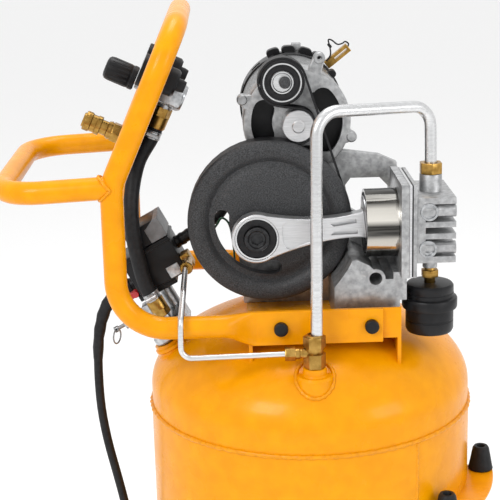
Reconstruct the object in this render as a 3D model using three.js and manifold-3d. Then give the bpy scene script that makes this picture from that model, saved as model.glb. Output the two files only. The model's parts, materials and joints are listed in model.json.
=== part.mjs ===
// A portable single-cylinder air compressor: a vertical tank on two wheels and a front foot, a tube
// handle with a control panel, and a belt-driven wobble-piston pump with its motor on a saddle.
// Millimetres, +Z up, the floor at Z = 0. Built about the tank's axis; +X is the cylinder-head side,
// -Y is the flywheel side, and the handle is at -X. The exported group is centred on its own base.
import * as THREE from "three";
import { mergeVertices } from "three/addons/utils/BufferGeometryUtils.js";
import Module from "manifold-3d";

const wasm = await Module();
wasm.setup();

// ---- driving dimensions -------------------------------------------------------------------------
const gap = 0.3; // what two touching pieces keep between them
const runningGap = 0.6; // between a piece that turns or slides and its seat

const tankRadius = 184;
const tankWall = 3;
const shellLength = 367; // between the two weld rings
const headDepth = 92; // a 2:1 ellipsoidal head
const headFlange = 22; // the head's straight rim
const groundClearance = 50;
const ledgeZ = 437;
const bumperTopZ = 466;

const handleTubeRadius = 12;
const handleSpacing = 260; // between the two side tubes' centre lines
const handleBendRadius = 52;
const handleBackX = -207;
const handleKneeZ = 814;
const handleTopX = -136;
const handleTopZ = 972;
const handlePlateHeight = 37;
const handlePlateThickness = 5.5;
const handlePlateStartX = -65;
const handlePlateEndX = 72;
const handleBoltRadius = 4;
const handleBoltXs = [-36.6, 59.8];
const gripReach = 116; // from the side tubes to the loop's cross bar
const gripDrop = 5;

const platformTopZ = 650;
const platformThickness = 3;
const saddleEndX = 92;
const saddleLegThickness = 4;
const sideClearance = 0.4; // between the saddle's sides and the handle's plates

const pumpX = -43.7;
const pumpZ = 753.5;
const rodPlaneY = -75;
const crankThrow = 19.45;
const crankAngle = 220; // degrees, counter-clockwise from +X as seen from the front
const rodLength = 119;
const rodThickness = 16;
const bigEndRadius = 27;
const crankBearingRadius = 23.5;
const crankBearingWidth = 14;
const pistonRadius = 29.5;
const pistonFace = 3; // ahead of the pivot
const pistonThickness = 4.8;
const boreRadius = 33;
const sleeveWall = 3.7;
const sleeveStartX = 57;
const cupThickness = 2;
const cupWidth = 6;

const flywheelRadius = 89.3;
const beltSeatRadius = 86;
const flywheelFrontY = -61;
const flywheelBackY = -26;
const flywheelWebFrontY = -50;
const flywheelWebBackY = -40;
const crankShaftRadius = 10;
const crankBossRadius = 21;
const bearingHousingRadius = 33;
const bearingHousingBackY = 30;
const frameWebFrontY = -20;
const frameWebBackY = -8;

const deckX = 92.4;
const deckThickness = 7;
const valvePlateThickness = 8;
const valveRecess = 4.5; // over the bore, for the piston's wobble
const valvePlateHeight = 100;
const valvePlateWidth = 94;
const headHeight = 70;
const headWidth = 86;
const headLength = 41;
const headBaseLength = 9;
const finPitch = 12.5;
const finSlot = 6.5;
const headCentreX = 127.5; // of the two ports
const portBossRadius = 12;
const outletBossTopZ = 807;

const filterRadius = 26;
const filterRimRadius = 30;
const filterTopZ = 687;
const filterBottomZ = 631;
const nippleRadius = 6;

const motorX = -10.4;
const motorZ = 855.8;
const motorShaftRadius = 7;
const pinionRadius = 17.4;
const bellRadius = 59;
const bellWall = 4;
const bellFrontY = -25;
const bellBackY = 10;
const statorRadius = 58;
const statorBoreRadius = 30;
const statorBackY = 94;
const rearCoverRadius = 60;
const baffleRadius = 67; // of the raised tabs on top of the rear cover
const rearCoverBackY = 128;
const fanRadius = 53;
const fanY = 104;
const shaftEndY = 123;
const lugRadius = 7.5;
const lugPlaces = [[-59, 26], [25.4, 69], [59.5, -18]]; // across and up from the motor's axis

const beltNearY = -51;
const beltFarY = -31;
const beltThickness = 2.2;
const beltGap = 0.5;
const idlerPlace = [-16.3, 47.7]; // across and up from the motor's axis
const idlerRadius = 24;
const idlerBoreRadius = 9.6;

const panelTilt = 25;
const panelZ = 875;
const panelThickness = 3;
const panelFrontX = -8;
const panelLow = -58;
const panelHigh = 66;
const panelShoulder = 30; // above it the panel narrows to clear the handle's top bends
const panelTopHalfWidth = 92;
const knobPlaceZ = 25;
const knobRadius = 13.5;
const knobLength = 36;
const couplerPlaceZ = -39;
const gaugePlaceZ = 44;
const gaugeSpread = 46;
const gaugeRadius = 17;
const regulatorRadius = 16;
const regulatorAxisX = 23; // of the hose port, behind the panel

const hoseRadius = 8.5;
const manifoldPlace = [-156.5, -15, 597];
const manifoldTilt = -28;
const switchWidth = 62;
const switchDepth = 56;
const switchBaseZ = 71;
const switchBodyHeight = 47;

const teePlaceX = -3;
const teePlaceY = -148;
const teeRadius = 10.8;
const teeBottomZ = 618;
const teeTopZ = 640;
const dischargeTubeRadius = 6.35;
const bleedTubeRadius = 3.1;

const wheelRadius = 89;
const wheelWidth = 38;
const wheelSpread = 182; // from the tank's axis to a wheel's middle
const axleX = -172;
const axleRadius = 6.35;
const footX = 138;
const footSpread = 62;
const footHeight = 16;

const cordRadius = 5.2;
const coilMiddle = [-275, 0];
const coilOuterRadius = 62;
const coilInnerRadius = 41;
const coilHeight = 21;

// ---- derived places -----------------------------------------------------------------------------
const bottomRingZ = groundClearance + headDepth + headFlange;
const topRingZ = bottomRingZ + shellLength;
const headRadius = tankRadius - 1;
const domeBaseZ = topRingZ + headFlange;
const sideY = handleSpacing / 2;
const plateInnerY = sideY - handleTubeRadius;
const plateMiddleZ = platformTopZ + 3;
const degree = Math.PI / 180;
const pinX = crankThrow * Math.cos(crankAngle * degree);
const pinZ = crankThrow * Math.sin(crankAngle * degree);
const pistonX = pinX + Math.sqrt(rodLength ** 2 - pinZ ** 2);
const rodTilt = Math.asin(-pinZ / rodLength);
const domeZ = (r) => domeBaseZ + headDepth * Math.sqrt(Math.max(0, 1 - (r / headRadius) ** 2));

// ---- finishes -----------------------------------------------------------------------------------
const finish = (color, roughness, metalness) => new THREE.MeshStandardMaterial({ color, roughness,
  metalness });
const yellow = finish(0xf7a600, 0.3, 0);
const castIron = finish(0x4a4b4e, 0.65, 0.4);
const aluminium = finish(0xb4b7ba, 0.4, 0.9);
const polished = finish(0xdadcde, 0.15, 1);
const steel = finish(0x8d9094, 0.35, 1);
const brass = finish(0xb08d3e, 0.35, 1);
const blackPlastic = finish(0x17181a, 0.5, 0);
const rubber = finish(0x101011, 0.8, 0);
const copper = finish(0x8c4a2f, 0.4, 0.8);
const red = finish(0xc4141c, 0.4, 0);
const grey = finish(0x6f7276, 0.5, 0);

// ---- modelling helpers --------------------------------------------------------------------------
// A closed solid from a geometry, with its faces turned outwards.
function solid(geometry) {
  const bare = geometry.index ? geometry.toNonIndexed() : geometry.clone();
  bare.deleteAttribute("normal");
  bare.deleteAttribute("uv");
  const merged = mergeVertices(bare, 1e-4);
  const vertProperties = merged.attributes.position.array;
  const triVerts = new Uint32Array(merged.index.array);
  const made = new wasm.Manifold(new wasm.Mesh({ numProp: 3, vertProperties, triVerts }));
  if (made.volume() > 0) return made;
  return new wasm.Manifold(new wasm.Mesh({ numProp: 3, vertProperties, triVerts: triVerts.reverse() }));
}

const asSolid = (shape) => (shape.isBufferGeometry ? solid(shape) : shape);
const join = (...shapes) => shapes.map(asSolid).reduce((whole, next) => whole.add(next));
const cut = (shape, ...tools) => tools.map(asSolid).reduce((left, tool) => left.subtract(tool),
  asSolid(shape));

// The main body of a cut piece, without the offcuts of its coped ends.
const largest = (shape) => shape.decompose().sort((a, b) => b.volume() - a.volume())[0];

// Adds one named mesh to a group.
function piece(group, name, shape, material) {
  const { vertProperties, triVerts } = asSolid(shape).getMesh();
  const geometry = new THREE.BufferGeometry();
  geometry.setAttribute("position", new THREE.BufferAttribute(new Float32Array(vertProperties), 3));
  geometry.setIndex(new THREE.BufferAttribute(new Uint32Array(triVerts), 1));
  const mesh = new THREE.Mesh(geometry, material);
  mesh.name = name;
  group.add(mesh);
  return mesh;
}

// Turns a geometry made along Y to lie along another axis.
function along(axis, geometry) {
  if (axis === "x") return geometry.rotateZ(-Math.PI / 2);
  if (axis === "z") return geometry.rotateX(Math.PI / 2);
  return geometry;
}

function bar(axis, radius, from, to, sides = 12, endRadius = radius) {
  const geometry = new THREE.CylinderGeometry(endRadius, radius, to - from, sides);
  return along(axis, geometry.translate(0, (from + to) / 2, 0));
}

// A profile of [radius, distance along the axis] points, turned around the axis.
function turned(axis, profile, sides = 24) {
  const points = profile.map(([radius, along]) => new THREE.Vector2(radius, along));
  return along(axis, new THREE.LatheGeometry(points, sides));
}

const sleeve = (axis, outer, inner, from, to, sides = 24) =>
  turned(axis, [[inner, from], [outer, from], [outer, to], [inner, to], [inner, from]], sides);

function block(low, high) {
  const [x, y, z] = low.map((value, i) => high[i] - value);
  const middle = low.map((value, i) => (value + high[i]) / 2);
  return new THREE.BoxGeometry(x, y, z).translate(...middle);
}

const outline = (points) => new THREE.Shape(points.map(([x, y]) => new THREE.Vector2(x, y)));

// A shape drawn as seen from the front (x across, y up), thick from nearY to farY.
const slab = (shape, nearY, farY, curveSegments = 8) =>
  new THREE.ExtrudeGeometry(shape, { depth: farY - nearY, bevelEnabled: false, curveSegments })
    .rotateX(Math.PI / 2).translate(0, farY, 0);

// A shape drawn as seen from above, thick from lowZ to highZ.
const sheet = (shape, lowZ, highZ, curveSegments = 8) =>
  new THREE.ExtrudeGeometry(shape, { depth: highZ - lowZ, bevelEnabled: false,
    curveSegments }).translate(0, 0, lowZ);

// A band between two radii from one angle to another, in degrees, with round ends.
function arcSlot(inner, outer, from, to) {
  const [a, b] = [from * degree, to * degree];
  const middle = (inner + outer) / 2;
  const end = (outer - inner) / 2;
  return new THREE.Shape()
    .absarc(0, 0, outer, a, b, false)
    .absarc(middle * Math.cos(b), middle * Math.sin(b), end, b, b + Math.PI, false)
    .absarc(0, 0, inner, b, a, true)
    .absarc(middle * Math.cos(a), middle * Math.sin(a), end, a + Math.PI, a + 2 * Math.PI, false);
}

// Straight runs joined by round bends; the sections sit at the bends, not along the straights.
class BentPath extends THREE.Curve {
  constructor(points, bendRadius, bendSteps = 3) {
    super();
    const corners = points.map((p) => new THREE.Vector3(...p));
    this.stations = [];
    corners.forEach((corner, i) => this.addCorner(corners, corner, i, bendRadius, bendSteps));
  }
  addCorner(corners, corner, i, bendRadius, bendSteps) {
    const last = corners.length - 1;
    const before = corner.clone().sub(corners[Math.max(i - 1, 0)]).normalize();
    const after = corners[Math.min(i + 1, last)].clone().sub(corner).normalize();
    if (i === 0 || i === last) {
      this.stations.push({ place: corner, heading: i === 0 ? after : before });
      return;
    }
    const turn = before.angleTo(after);
    const reach = bendRadius * Math.tan(turn / 2);
    const inward = after.clone().sub(before).normalize();
    const centre = corner.clone().addScaledVector(inward, bendRadius / Math.cos(turn / 2));
    const axis = before.clone().cross(after).normalize();
    const start = corner.clone().addScaledVector(before, -reach).sub(centre);
    for (let k = 0; k <= bendSteps; k++) {
      const swing = (turn * k) / bendSteps;
      const place = start.clone().applyAxisAngle(axis, swing).add(centre);
      this.stations.push({ place, heading: before.clone().applyAxisAngle(axis, swing) });
    }
  }
  at(u) {
    return this.stations[Math.round(u * (this.stations.length - 1))];
  }
  getPoint(u) {
    return this.at(u).place.clone();
  }
  getPointAt(u) {
    return this.getPoint(u);
  }
  getTangentAt(u) {
    return this.at(u).heading.clone();
  }
}

function tube(path, radius, sides = 10, steps = path.stations.length - 1) {
  const section = new THREE.Shape().absarc(0, 0, radius, 0, 2 * Math.PI);
  return new THREE.ExtrudeGeometry(section, {
    steps,
    curveSegments: sides / 2,
    extrudePath: path,
    bevelEnabled: false,
  });
}

const smoothPath = (points) => new THREE.CatmullRomCurve3(points.map((p) => new THREE.Vector3(...p)));
const hexagon = (axis, acrossFlats, from, to) => bar(axis, acrossFlats / Math.sqrt(3), from, to, 6);

const compressor = new THREE.Group();
const assembly = (x = 0, y = 0, z = 0, tilt = 0) => {
  const group = new THREE.Group();
  group.position.set(x, y, z);
  group.rotation.y = tilt * degree;
  compressor.add(group);
  return group;
};

// ---- tank ---------------------------------------------------------------------------------------
const tank = assembly();

function headSolid(grow = 0) {
  const steps = 5;
  const quarter = (a, b, k) => [a * Math.sin((k / steps) * Math.PI / 2),
    b * Math.cos((k / steps) * Math.PI / 2)];
  const outer = [];
  const inner = [];
  for (let k = 0; k <= steps; k++) {
    outer.push(quarter(headRadius + grow, headDepth + grow, k));
    inner.push(quarter(headRadius - tankWall, headDepth - tankWall, k));
  }
  const rim = -headFlange + gap;
  const full = [[0, rim], [headRadius + grow, rim], ...outer.reverse()];
  const shell = [...inner, [headRadius - tankWall, rim], [headRadius, rim], ...outer];
  return turned("z", grow ? full : shell, 32);
}

const topHead = headSolid().translate(0, 0, domeBaseZ);
const bottomDomeZ = groundClearance + headDepth;
const bottomHead = headSolid().rotateX(Math.PI).translate(0, 0, bottomDomeZ);
const topHeadTool = headSolid(gap).translate(0, 0, domeBaseZ);
const bottomHeadTool = headSolid(gap).rotateX(Math.PI).translate(0, 0, bottomDomeZ);

const teeRing = bar("z", 19.5, 585, 609.5, 24).translate(teePlaceX, teePlaceY, 0);
const teeStub = bar("z", 12.5, 585, teeBottomZ - gap, 20).translate(teePlaceX, teePlaceY, 0);
const manifoldStub = bar("z", 17, -22, 12, 20)
  .rotateY(manifoldTilt * degree).translate(...manifoldPlace);
const hollow = headSolid(-tankWall).translate(0, 0, domeBaseZ);
piece(tank, "tank_top_head", join(topHead, cut(join(teeRing, teeStub, manifoldStub), hollow)), yellow);
// A short ledge at the shell's front right carries two rubber cones, which locate the pump's cover.
const bumperRing = tankRadius + 16;
const bumperAngles = [-46, -6];
const ledge = arcSlot(tankRadius - tankWall / 2, tankRadius + 30, bumperAngles[0] - 3,
  bumperAngles[1] + 3);
const shell = sleeve("z", tankRadius, tankRadius - tankWall, bottomRingZ, topRingZ, 32);
const shellHollow = bar("z", tankRadius - tankWall, bottomRingZ, topRingZ, 32);
piece(tank, "tank_shell", join(shell, cut(sheet(ledge, ledgeZ - 3, ledgeZ), shellHollow)), yellow);
bumperAngles.forEach((angle, i) => {
  const [x, y] = [Math.cos(angle * degree) * bumperRing, Math.sin(angle * degree) * bumperRing];
  piece(tank, `cover_bumper_${i + 1}`, bar("z", 14.5, ledgeZ + gap, bumperTopZ, 20, 9).translate(x, y,
    0), rubber);
});
const drainBoss = bar("z", 14, groundClearance - 5, groundClearance + 10, 20);
const bottomHollow = headSolid(-tankWall).rotateX(Math.PI).translate(0, 0, bottomDomeZ);
piece(tank, "tank_bottom_head", join(bottomHead, cut(drainBoss, bottomHollow)), yellow);

// The drain cock under the tank, with its tap turned to the front.
const drainZ = groundClearance - 5 - gap;
const drainFlats = 17;
const drainBody = join(
  bar("z", 8, drainZ - 22, drainZ, 16),
  bar("y", 6, -64, 0, 16).translate(0, 0, drainZ - 16),
  hexagon("y", drainFlats, -46, -30).translate(0, 0, drainZ - 16),
);
piece(tank, "drain_valve_body", drainBody, brass);
const drainTap = join(
  bar("z", 4, drainZ - 38.5, drainZ - 16 - drainFlats / Math.sqrt(3) - runningGap, 12).translate(0, -38,
    0),
  block([-16, -41, drainZ - 38.5], [16, -35, drainZ - 32.5]),
);
piece(tank, "drain_valve_tap", drainTap, brass);

// ---- wheels, axle and foot ----------------------------------------------------------------------
const gear = assembly();
const axleEnd = wheelSpread + wheelWidth / 2 + 9;
const gussetSpread = 118;
const gusset = outline([[axleX - 18, wheelRadius - 18], [axleX + 22, wheelRadius - 18],
  [-60, 75], [-60, 150], [-110, 150], [axleX - 18, wheelRadius + 26]]);
const bracketPlates = [-gussetSpread, gussetSpread].map((y) => slab(gusset, y - 2, y + 2));
const crossPlate = block([axleX - 18, -gussetSpread, 104], [-100, gussetSpread, 108]);
const axle = bar("y", axleRadius, -axleEnd, axleEnd, 16).translate(axleX, 0, wheelRadius);
piece(gear, "axle_and_bracket", join(cut(join(...bracketPlates, crossPlate), bottomHeadTool), axle),
  yellow);

const wheelProfile = [
  [axleRadius + gap, -16], [20, -16], [22, -7], [58, -7], [62, -17], [80, -19],
  [wheelRadius, -8], [wheelRadius, 8], [80, 19], [62, 17], [58, 7], [22, 7], [20, 16],
  [axleRadius + gap, 16], [axleRadius + gap, -16],
];
for (const [name, y] of [["wheel_near", -wheelSpread], ["wheel_far", wheelSpread]]) {
  const wheel = piece(gear, name, turned("y", wheelProfile, 20), rubber);
  wheel.position.set(axleX, y, wheelRadius);
}

const footPads = [-footSpread, footSpread].map((y) => bar("z", 17, 0, footHeight + 1, 20,
  13).translate(footX + 5, y, 0));
const footBracket = join(
  block([footX - 12, -footSpread - 22, footHeight], [footX + 22, footSpread + 22, footHeight + 4]),
  block([footX - 12, -footSpread - 22, footHeight], [footX - 8, footSpread + 22, 140]),
  block([footX - 60, -footSpread - 22, footHeight + 40], [footX - 10, -footSpread - 18, 130]),
  block([footX - 60, footSpread + 18, footHeight + 40], [footX - 10, footSpread + 22, 130]),
);
piece(gear, "front_foot", join(cut(footBracket, bottomHeadTool), ...footPads), yellow);

// ---- handle -------------------------------------------------------------------------------------
const handle = assembly();
const handlePath = (side) => [
  [handlePlateStartX - 31, side * sideY, plateMiddleZ + 7],
  [handleBackX - 1, side * sideY, plateMiddleZ + 7],
  [handleBackX, side * sideY, handleKneeZ],
  [handleTopX, side * sideY, handleTopZ],
];
const handleRoute = new BentPath([...handlePath(-1), ...handlePath(1).reverse()], handleBendRadius);

// The tube's end, pressed from round to flat between the bend and its bolting plate.
function flattenedEnd(side) {
  const geometry = new THREE.CylinderGeometry(1, 1, 1, 12, 3);
  const places = geometry.attributes.position;
  for (let i = 0; i < places.count; i++) {
    const share = places.getY(i) + 0.5;
    const ease = share * share * (3 - 2 * share);
    const halfHeight = THREE.MathUtils.lerp(handleTubeRadius, handlePlateHeight / 2, ease);
    const halfDepth = THREE.MathUtils.lerp(handleTubeRadius, handlePlateThickness / 2, ease);
    const middleY = THREE.MathUtils.lerp(sideY, plateInnerY + handlePlateThickness / 2, ease);
    const x = handlePlateStartX - 33 + share * 36;
    const y = side * (middleY + places.getX(i) * halfDepth);
    const z = plateMiddleZ + 7 * (1 - ease) + places.getZ(i) * halfHeight;
    places.setXYZ(i, x, y, z);
  }
  return geometry;
}

function handlePlate(side) {
  const plate = outline([
    [handlePlateStartX, plateMiddleZ - handlePlateHeight / 2],
    [handlePlateEndX, plateMiddleZ - handlePlateHeight / 2],
    [handlePlateEndX, plateMiddleZ + handlePlateHeight / 2],
    [handlePlateStartX, plateMiddleZ + handlePlateHeight / 2],
  ]);
  for (const x of handleBoltXs) plate.holes.push(new THREE.Path().absarc(x, plateMiddleZ,
    handleBoltRadius + gap * 2, 0, 2 * Math.PI));
  const [a, b] = [side * plateInnerY, side * (plateInnerY + handlePlateThickness)];
  return slab(plate, Math.min(a, b), Math.max(a, b), 4);
}

const handleTube = join(
  tube(handleRoute, handleTubeRadius, 10),
  flattenedEnd(-1), flattenedEnd(1), handlePlate(-1), handlePlate(1),
);
piece(handle, "handle_tube", handleTube, yellow);

const gripX = handleBackX - gripReach;
const gripRoute = new BentPath([
  [handleBackX + 6, -sideY, handleKneeZ - 1],
  [gripX, -sideY, handleKneeZ - 1 - gripDrop],
  [gripX, sideY, handleKneeZ - 1 - gripDrop],
  [handleBackX + 6, sideY, handleKneeZ - 1],
], 44);
const gripTube = cut(tube(gripRoute, handleTubeRadius, 10),
  tube(handleRoute, handleTubeRadius + gap, 10));
piece(handle, "grip_loop", largest(gripTube), yellow);

// ---- saddle on the tank, between the handle's plates --------------------------------------------
const saddleY = plateInnerY - sideClearance;
const saddleSide = (side) => block(
  [handlePlateStartX - 6, Math.min(side * saddleY, side * (saddleY - platformThickness)),
    plateMiddleZ - 16],
  [saddleEndX, Math.max(side * saddleY, side * (saddleY - platformThickness)),
    plateMiddleZ + handlePlateHeight / 2 - 1],
);
const saddleLeg = (x) => block([x, -saddleY, domeBaseZ + 20],
  [x + saddleLegThickness, saddleY, platformTopZ - 1]);
const saddlePlate = block([handlePlateStartX - 6, -saddleY, platformTopZ - platformThickness],
  [saddleEndX, saddleY, platformTopZ]);
// Its four bolts, welded in, pass through the handle's plates.
const boltFaceY = plateInnerY + handlePlateThickness + gap;
const handleBolt = () => join(
  bar("y", handleBoltRadius, saddleY - platformThickness - 6, boltFaceY + 1, 8),
  bar("y", 6.8, boltFaceY, boltFaceY + 6, 12),
);
const handleBolts = handleBoltXs.flatMap((x) => [
  handleBolt().translate([x, 0, plateMiddleZ]),
  handleBolt().rotate([0, 0, 180]).translate([x, 0, plateMiddleZ]),
]);
const saddleBody = join(
  saddlePlate, saddleSide(-1), saddleSide(1),
  saddleLeg(handlePlateStartX - 6), saddleLeg(saddleEndX - saddleLegThickness),
);
piece(handle, "pump_saddle", join(cut(saddleBody, topHeadTool), ...handleBolts), yellow);

// ---- pump ---------------------------------------------------------------------------------------
const pump = assembly(pumpX, 0, pumpZ);
const inPump = (x, z) => [x - pumpX, z - pumpZ];
const baseZ = platformTopZ + gap - pumpZ;

// The casting: web with its bearing housing, base plate, pedestal, and the deck that holds the sleeve.
const webOutline = outline([
  inPump(-73, platformTopZ + gap), inPump(deckX, platformTopZ + gap), inPump(deckX + deckThickness, 690),
  inPump(deckX + deckThickness, 807), inPump(80, 816), inPump(55, 820), inPump(34, 823), inPump(10, 838),
  inPump(-48, 838), inPump(-66, 812), inPump(-80, 780), inPump(-80, 728),
]);
// The web is open beside the sleeve, between the arm above it and the base.
const webOpening = outline([
  inPump(47, 756), inPump(42, 783), inPump(48, 791), inPump(80, 791),
  inPump(deckX - 2, 780), inPump(deckX - 2, 752), inPump(60, 748),
]);
const deckFrom = deckX - pumpX;
// The pedestal under the sleeve follows the flywheel's rim, and has a drilled boss on its front.
const pedestalFrontY = -104;
const pedestal = outline([
  [66, baseZ], [deckFrom, baseZ], [deckFrom, -55.5], [118, -55.5], [111, -47], [102.6, -39.5],
  [90.7, -33.5], [85, -34.5], [80, -44], [72, -55.5], [66, -63],
]);
const drillPlace = [110, 0, -54.5];
const deckTo = deckFrom + deckThickness;
const sleeveRadius = boreRadius + sleeveWall;
const bellTool = bar("y", bellRadius + gap, bellFrontY - 30, statorBackY, 40).translate(motorX - pumpX,
  0, motorZ - pumpZ);
const pumpFrame = cut(
  join(
    slab(webOutline, frameWebFrontY, frameWebBackY),
    bar("y", bearingHousingRadius, frameWebFrontY - 1, bearingHousingBackY, 32),
    block([-30, frameWebFrontY + 0.5, baseZ], [deckFrom, 62, baseZ + 9]),
    slab(pedestal, pedestalFrontY, frameWebFrontY + 1),
    bar("y", 10.5, pedestalFrontY, frameWebFrontY + 1, 24).translate(...drillPlace),
    block([129, pedestalFrontY, -79], [deckTo, -30, -48]),
    block([deckFrom - 1, rodPlaneY - 47, -50], [deckTo, frameWebBackY, 50]),
    block([-20, frameWebBackY - 1, baseZ], [-12, 52, -20]),
    block([60, frameWebBackY - 1, baseZ], [68, 52, -20]),
  ),
  bar("x", sleeveRadius + gap, 40, deckTo + 1, 32).translate(0, rodPlaneY, 0),
  bar("y", crankShaftRadius + runningGap, -60, 60, 24),
  bellTool,
  slab(webOpening, frameWebFrontY - 1, frameWebBackY + 1),
  bar("y", 7, pedestalFrontY - 1, -60, 20).translate(...drillPlace),
);
piece(pump, "pump_frame", pumpFrame, aluminium);

const sleeveShape = sleeve("x", sleeveRadius, boreRadius, sleeveStartX - pumpX, deckTo - gap,
  32).translate(0, rodPlaneY, 0);
piece(pump, "cylinder_sleeve", sleeveShape, polished);

const plateFrom = deckTo + gap;
const plateTo = plateFrom + valvePlateThickness;
const valvePlate = cut(
  block(
    [plateFrom, rodPlaneY - valvePlateWidth / 2, -valvePlateHeight / 2],
    [plateTo, rodPlaneY + valvePlateWidth / 2, valvePlateHeight / 2],
  ),
  bar("x", boreRadius, plateFrom - 1, plateFrom + valveRecess, 32).translate(0, rodPlaneY, 0),
);
piece(pump, "valve_plate", valvePlate, aluminium);

const headFrom = plateTo + gap;
const headTo = headFrom + headLength;
const portX = headCentreX - pumpX;
const portY = rodPlaneY - 6;
const finSlots = [];
for (let k = -2; k <= 2; k++) {
  const z = k * finPitch;
  finSlots.push(block([headFrom + headBaseLength, -200, z - finSlot / 2],
    [headTo + 1, rodPlaneY - 18, z + finSlot / 2]));
  finSlots.push(block([headFrom + headBaseLength, rodPlaneY + 18, z - finSlot / 2],
    [headTo + 1, 0, z + finSlot / 2]));
  finSlots.push(block([headTo - 14, -200, z - finSlot / 2], [headTo + 1, 0, z + finSlot / 2]));
}
const headCore = block([headFrom, rodPlaneY - headWidth / 2, -headHeight / 2],
  [headTo, rodPlaneY + headWidth / 2, headHeight / 2]);
const boltBosses = [-20, 20].map((z) => bar("x", 7, headFrom, headTo + 0.5, 16).translate(0,
  rodPlaneY - headWidth / 2 + 7, z));
const headSolidShape = join(
  cut(headCore, ...finSlots),
  ...boltBosses,
  bar("z", portBossRadius, headHeight / 2 - 12, outletBossTopZ - pumpZ, 20).translate(portX, portY, 0),
  bar("z", 8, filterTopZ + 17 - pumpZ, -headHeight / 2 + 12, 16).translate(portX, portY, 0),
);
piece(pump, "cylinder_head", headSolidShape, aluminium);

const nipple = join(
  bar("z", nippleRadius, filterTopZ - 6 - pumpZ, filterTopZ + 17 - gap - pumpZ, 16),
  hexagon("z", 17, filterTopZ + 6 - pumpZ, filterTopZ + 14 - pumpZ),
).translate([portX, portY, 0]);
piece(pump, "filter_nipple", nipple, brass);
const filterProfile = [
  [0, filterBottomZ], [filterRadius - 4, filterBottomZ], [filterRadius, filterBottomZ + 4],
  [filterRadius, filterTopZ - 28], [filterRimRadius, filterTopZ - 26], [filterRimRadius, filterTopZ - 16],
  [filterRadius, filterTopZ - 14], [filterRadius, filterTopZ - 4], [filterRadius - 4, filterTopZ],
  [nippleRadius + gap, filterTopZ], [nippleRadius + gap, filterTopZ - 7], [0, filterTopZ - 7],
];
piece(pump, "filter_canister", turned("z", filterProfile, 24).translate(portX, portY, -pumpZ),
  blackPlastic);

// The flywheel: a rounded rim with the belt's seat behind it, a web, a counterweight over the shaft
// opposite the crank boss, and a kidney opening beside the boss. The crankshaft is pressed into it.
const rim = [
  [0, -24], [19, -24], [19, flywheelWebBackY], [76, flywheelWebBackY], [79, flywheelBackY],
    [beltSeatRadius, flywheelBackY],
  [beltSeatRadius, beltNearY - 1.2], [flywheelRadius, beltNearY - 2.4], [flywheelRadius, -56], [86, -60],
    [78, flywheelFrontY],
  [69, -59], [64, flywheelWebFrontY], [0, flywheelWebFrontY],
];
const weight = new THREE.Shape()
  .absarc(0, 0, 60, -12 * degree, 162 * degree, false)
  .absarc(0, 0, 16, 162 * degree, -12 * degree, true);
const bossFrontY = rodPlaneY + rodThickness / 2 + gap;
const crankBoss = bar("y", crankBossRadius, bossFrontY, flywheelWebBackY - 2, 20).translate(pinX, 0,
  pinZ);
const flywheelShape = join(
  cut(join(turned("y", rim, 36), slab(weight, flywheelWebFrontY - 7, flywheelWebFrontY + 1, 10)),
    slab(arcSlot(44, 60, 173, 275), -80, -20, 5)),
  crankBoss,
  bar("y", crankShaftRadius, -45, bearingHousingBackY + 6, 20),
);
piece(pump, "flywheel", flywheelShape, castIron);

// The connecting rod is one piece with the wobbling piston. Its frame is at the piston's middle.
const pistonPivot = new THREE.Group();
pistonPivot.position.set(pistonX, rodPlaneY, 0);
pistonPivot.rotation.y = -rodTilt;
pump.add(pistonPivot);
const pistonBack = pistonFace - pistonThickness;
const rodShape = new THREE.Shape()
  .absarc(-rodLength, 0, bigEndRadius, 62 * degree, 298 * degree, false)
  .quadraticCurveTo(-70, -13, -34, -12)
  .quadraticCurveTo(-12, -12, pistonBack, -15)
  .lineTo(pistonBack, 15)
  .quadraticCurveTo(-12, 12, -34, 12)
  .quadraticCurveTo(-70, 13, -rodLength + bigEndRadius * Math.cos(62 * degree),
    bigEndRadius * Math.sin(62 * degree));
const pocket = outline([[-84, -5.5], [-30, -5], [-30, 5], [-84, 5.5]]);
const rod = cut(
  join(
    slab(rodShape, -rodThickness / 2, rodThickness / 2, 10),
    bar("x", pistonRadius, pistonBack, pistonFace, 24),
  ),
  bar("y", crankBearingRadius + gap, -rodThickness, rodThickness, 24).translate(-rodLength, 0, 0),
  slab(pocket, -rodThickness / 2 - 1, -rodThickness / 2 + 3),
);
piece(pistonPivot, "connecting_rod", rod, aluminium);
const bearing = sleeve("y", crankBearingRadius, 10 + gap, -crankBearingWidth / 2, crankBearingWidth / 2,
  24).translate(-rodLength, 0, 0);
piece(pistonPivot, "crank_bearing", bearing, steel);
const crankBolt = join(
  bar("y", 10, -crankBearingWidth / 2 - 1, crankBearingWidth / 2, 20),
  bar("y", 13.5, -crankBearingWidth / 2 - 5, -crankBearingWidth / 2 - gap, 20),
).translate([-rodLength, 0, 0]);
piece(pistonPivot, "crank_bolt", crankBolt, steel);

const cupOuter = boreRadius - 0.4;
const cup = sleeve("x", cupOuter, cupOuter - cupThickness, -cupWidth / 2, cupWidth / 2, 28);
const cupMesh = piece(pump, "cup_seal", cup, blackPlastic);
cupMesh.position.set(pistonX, rodPlaneY, 0);

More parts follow.
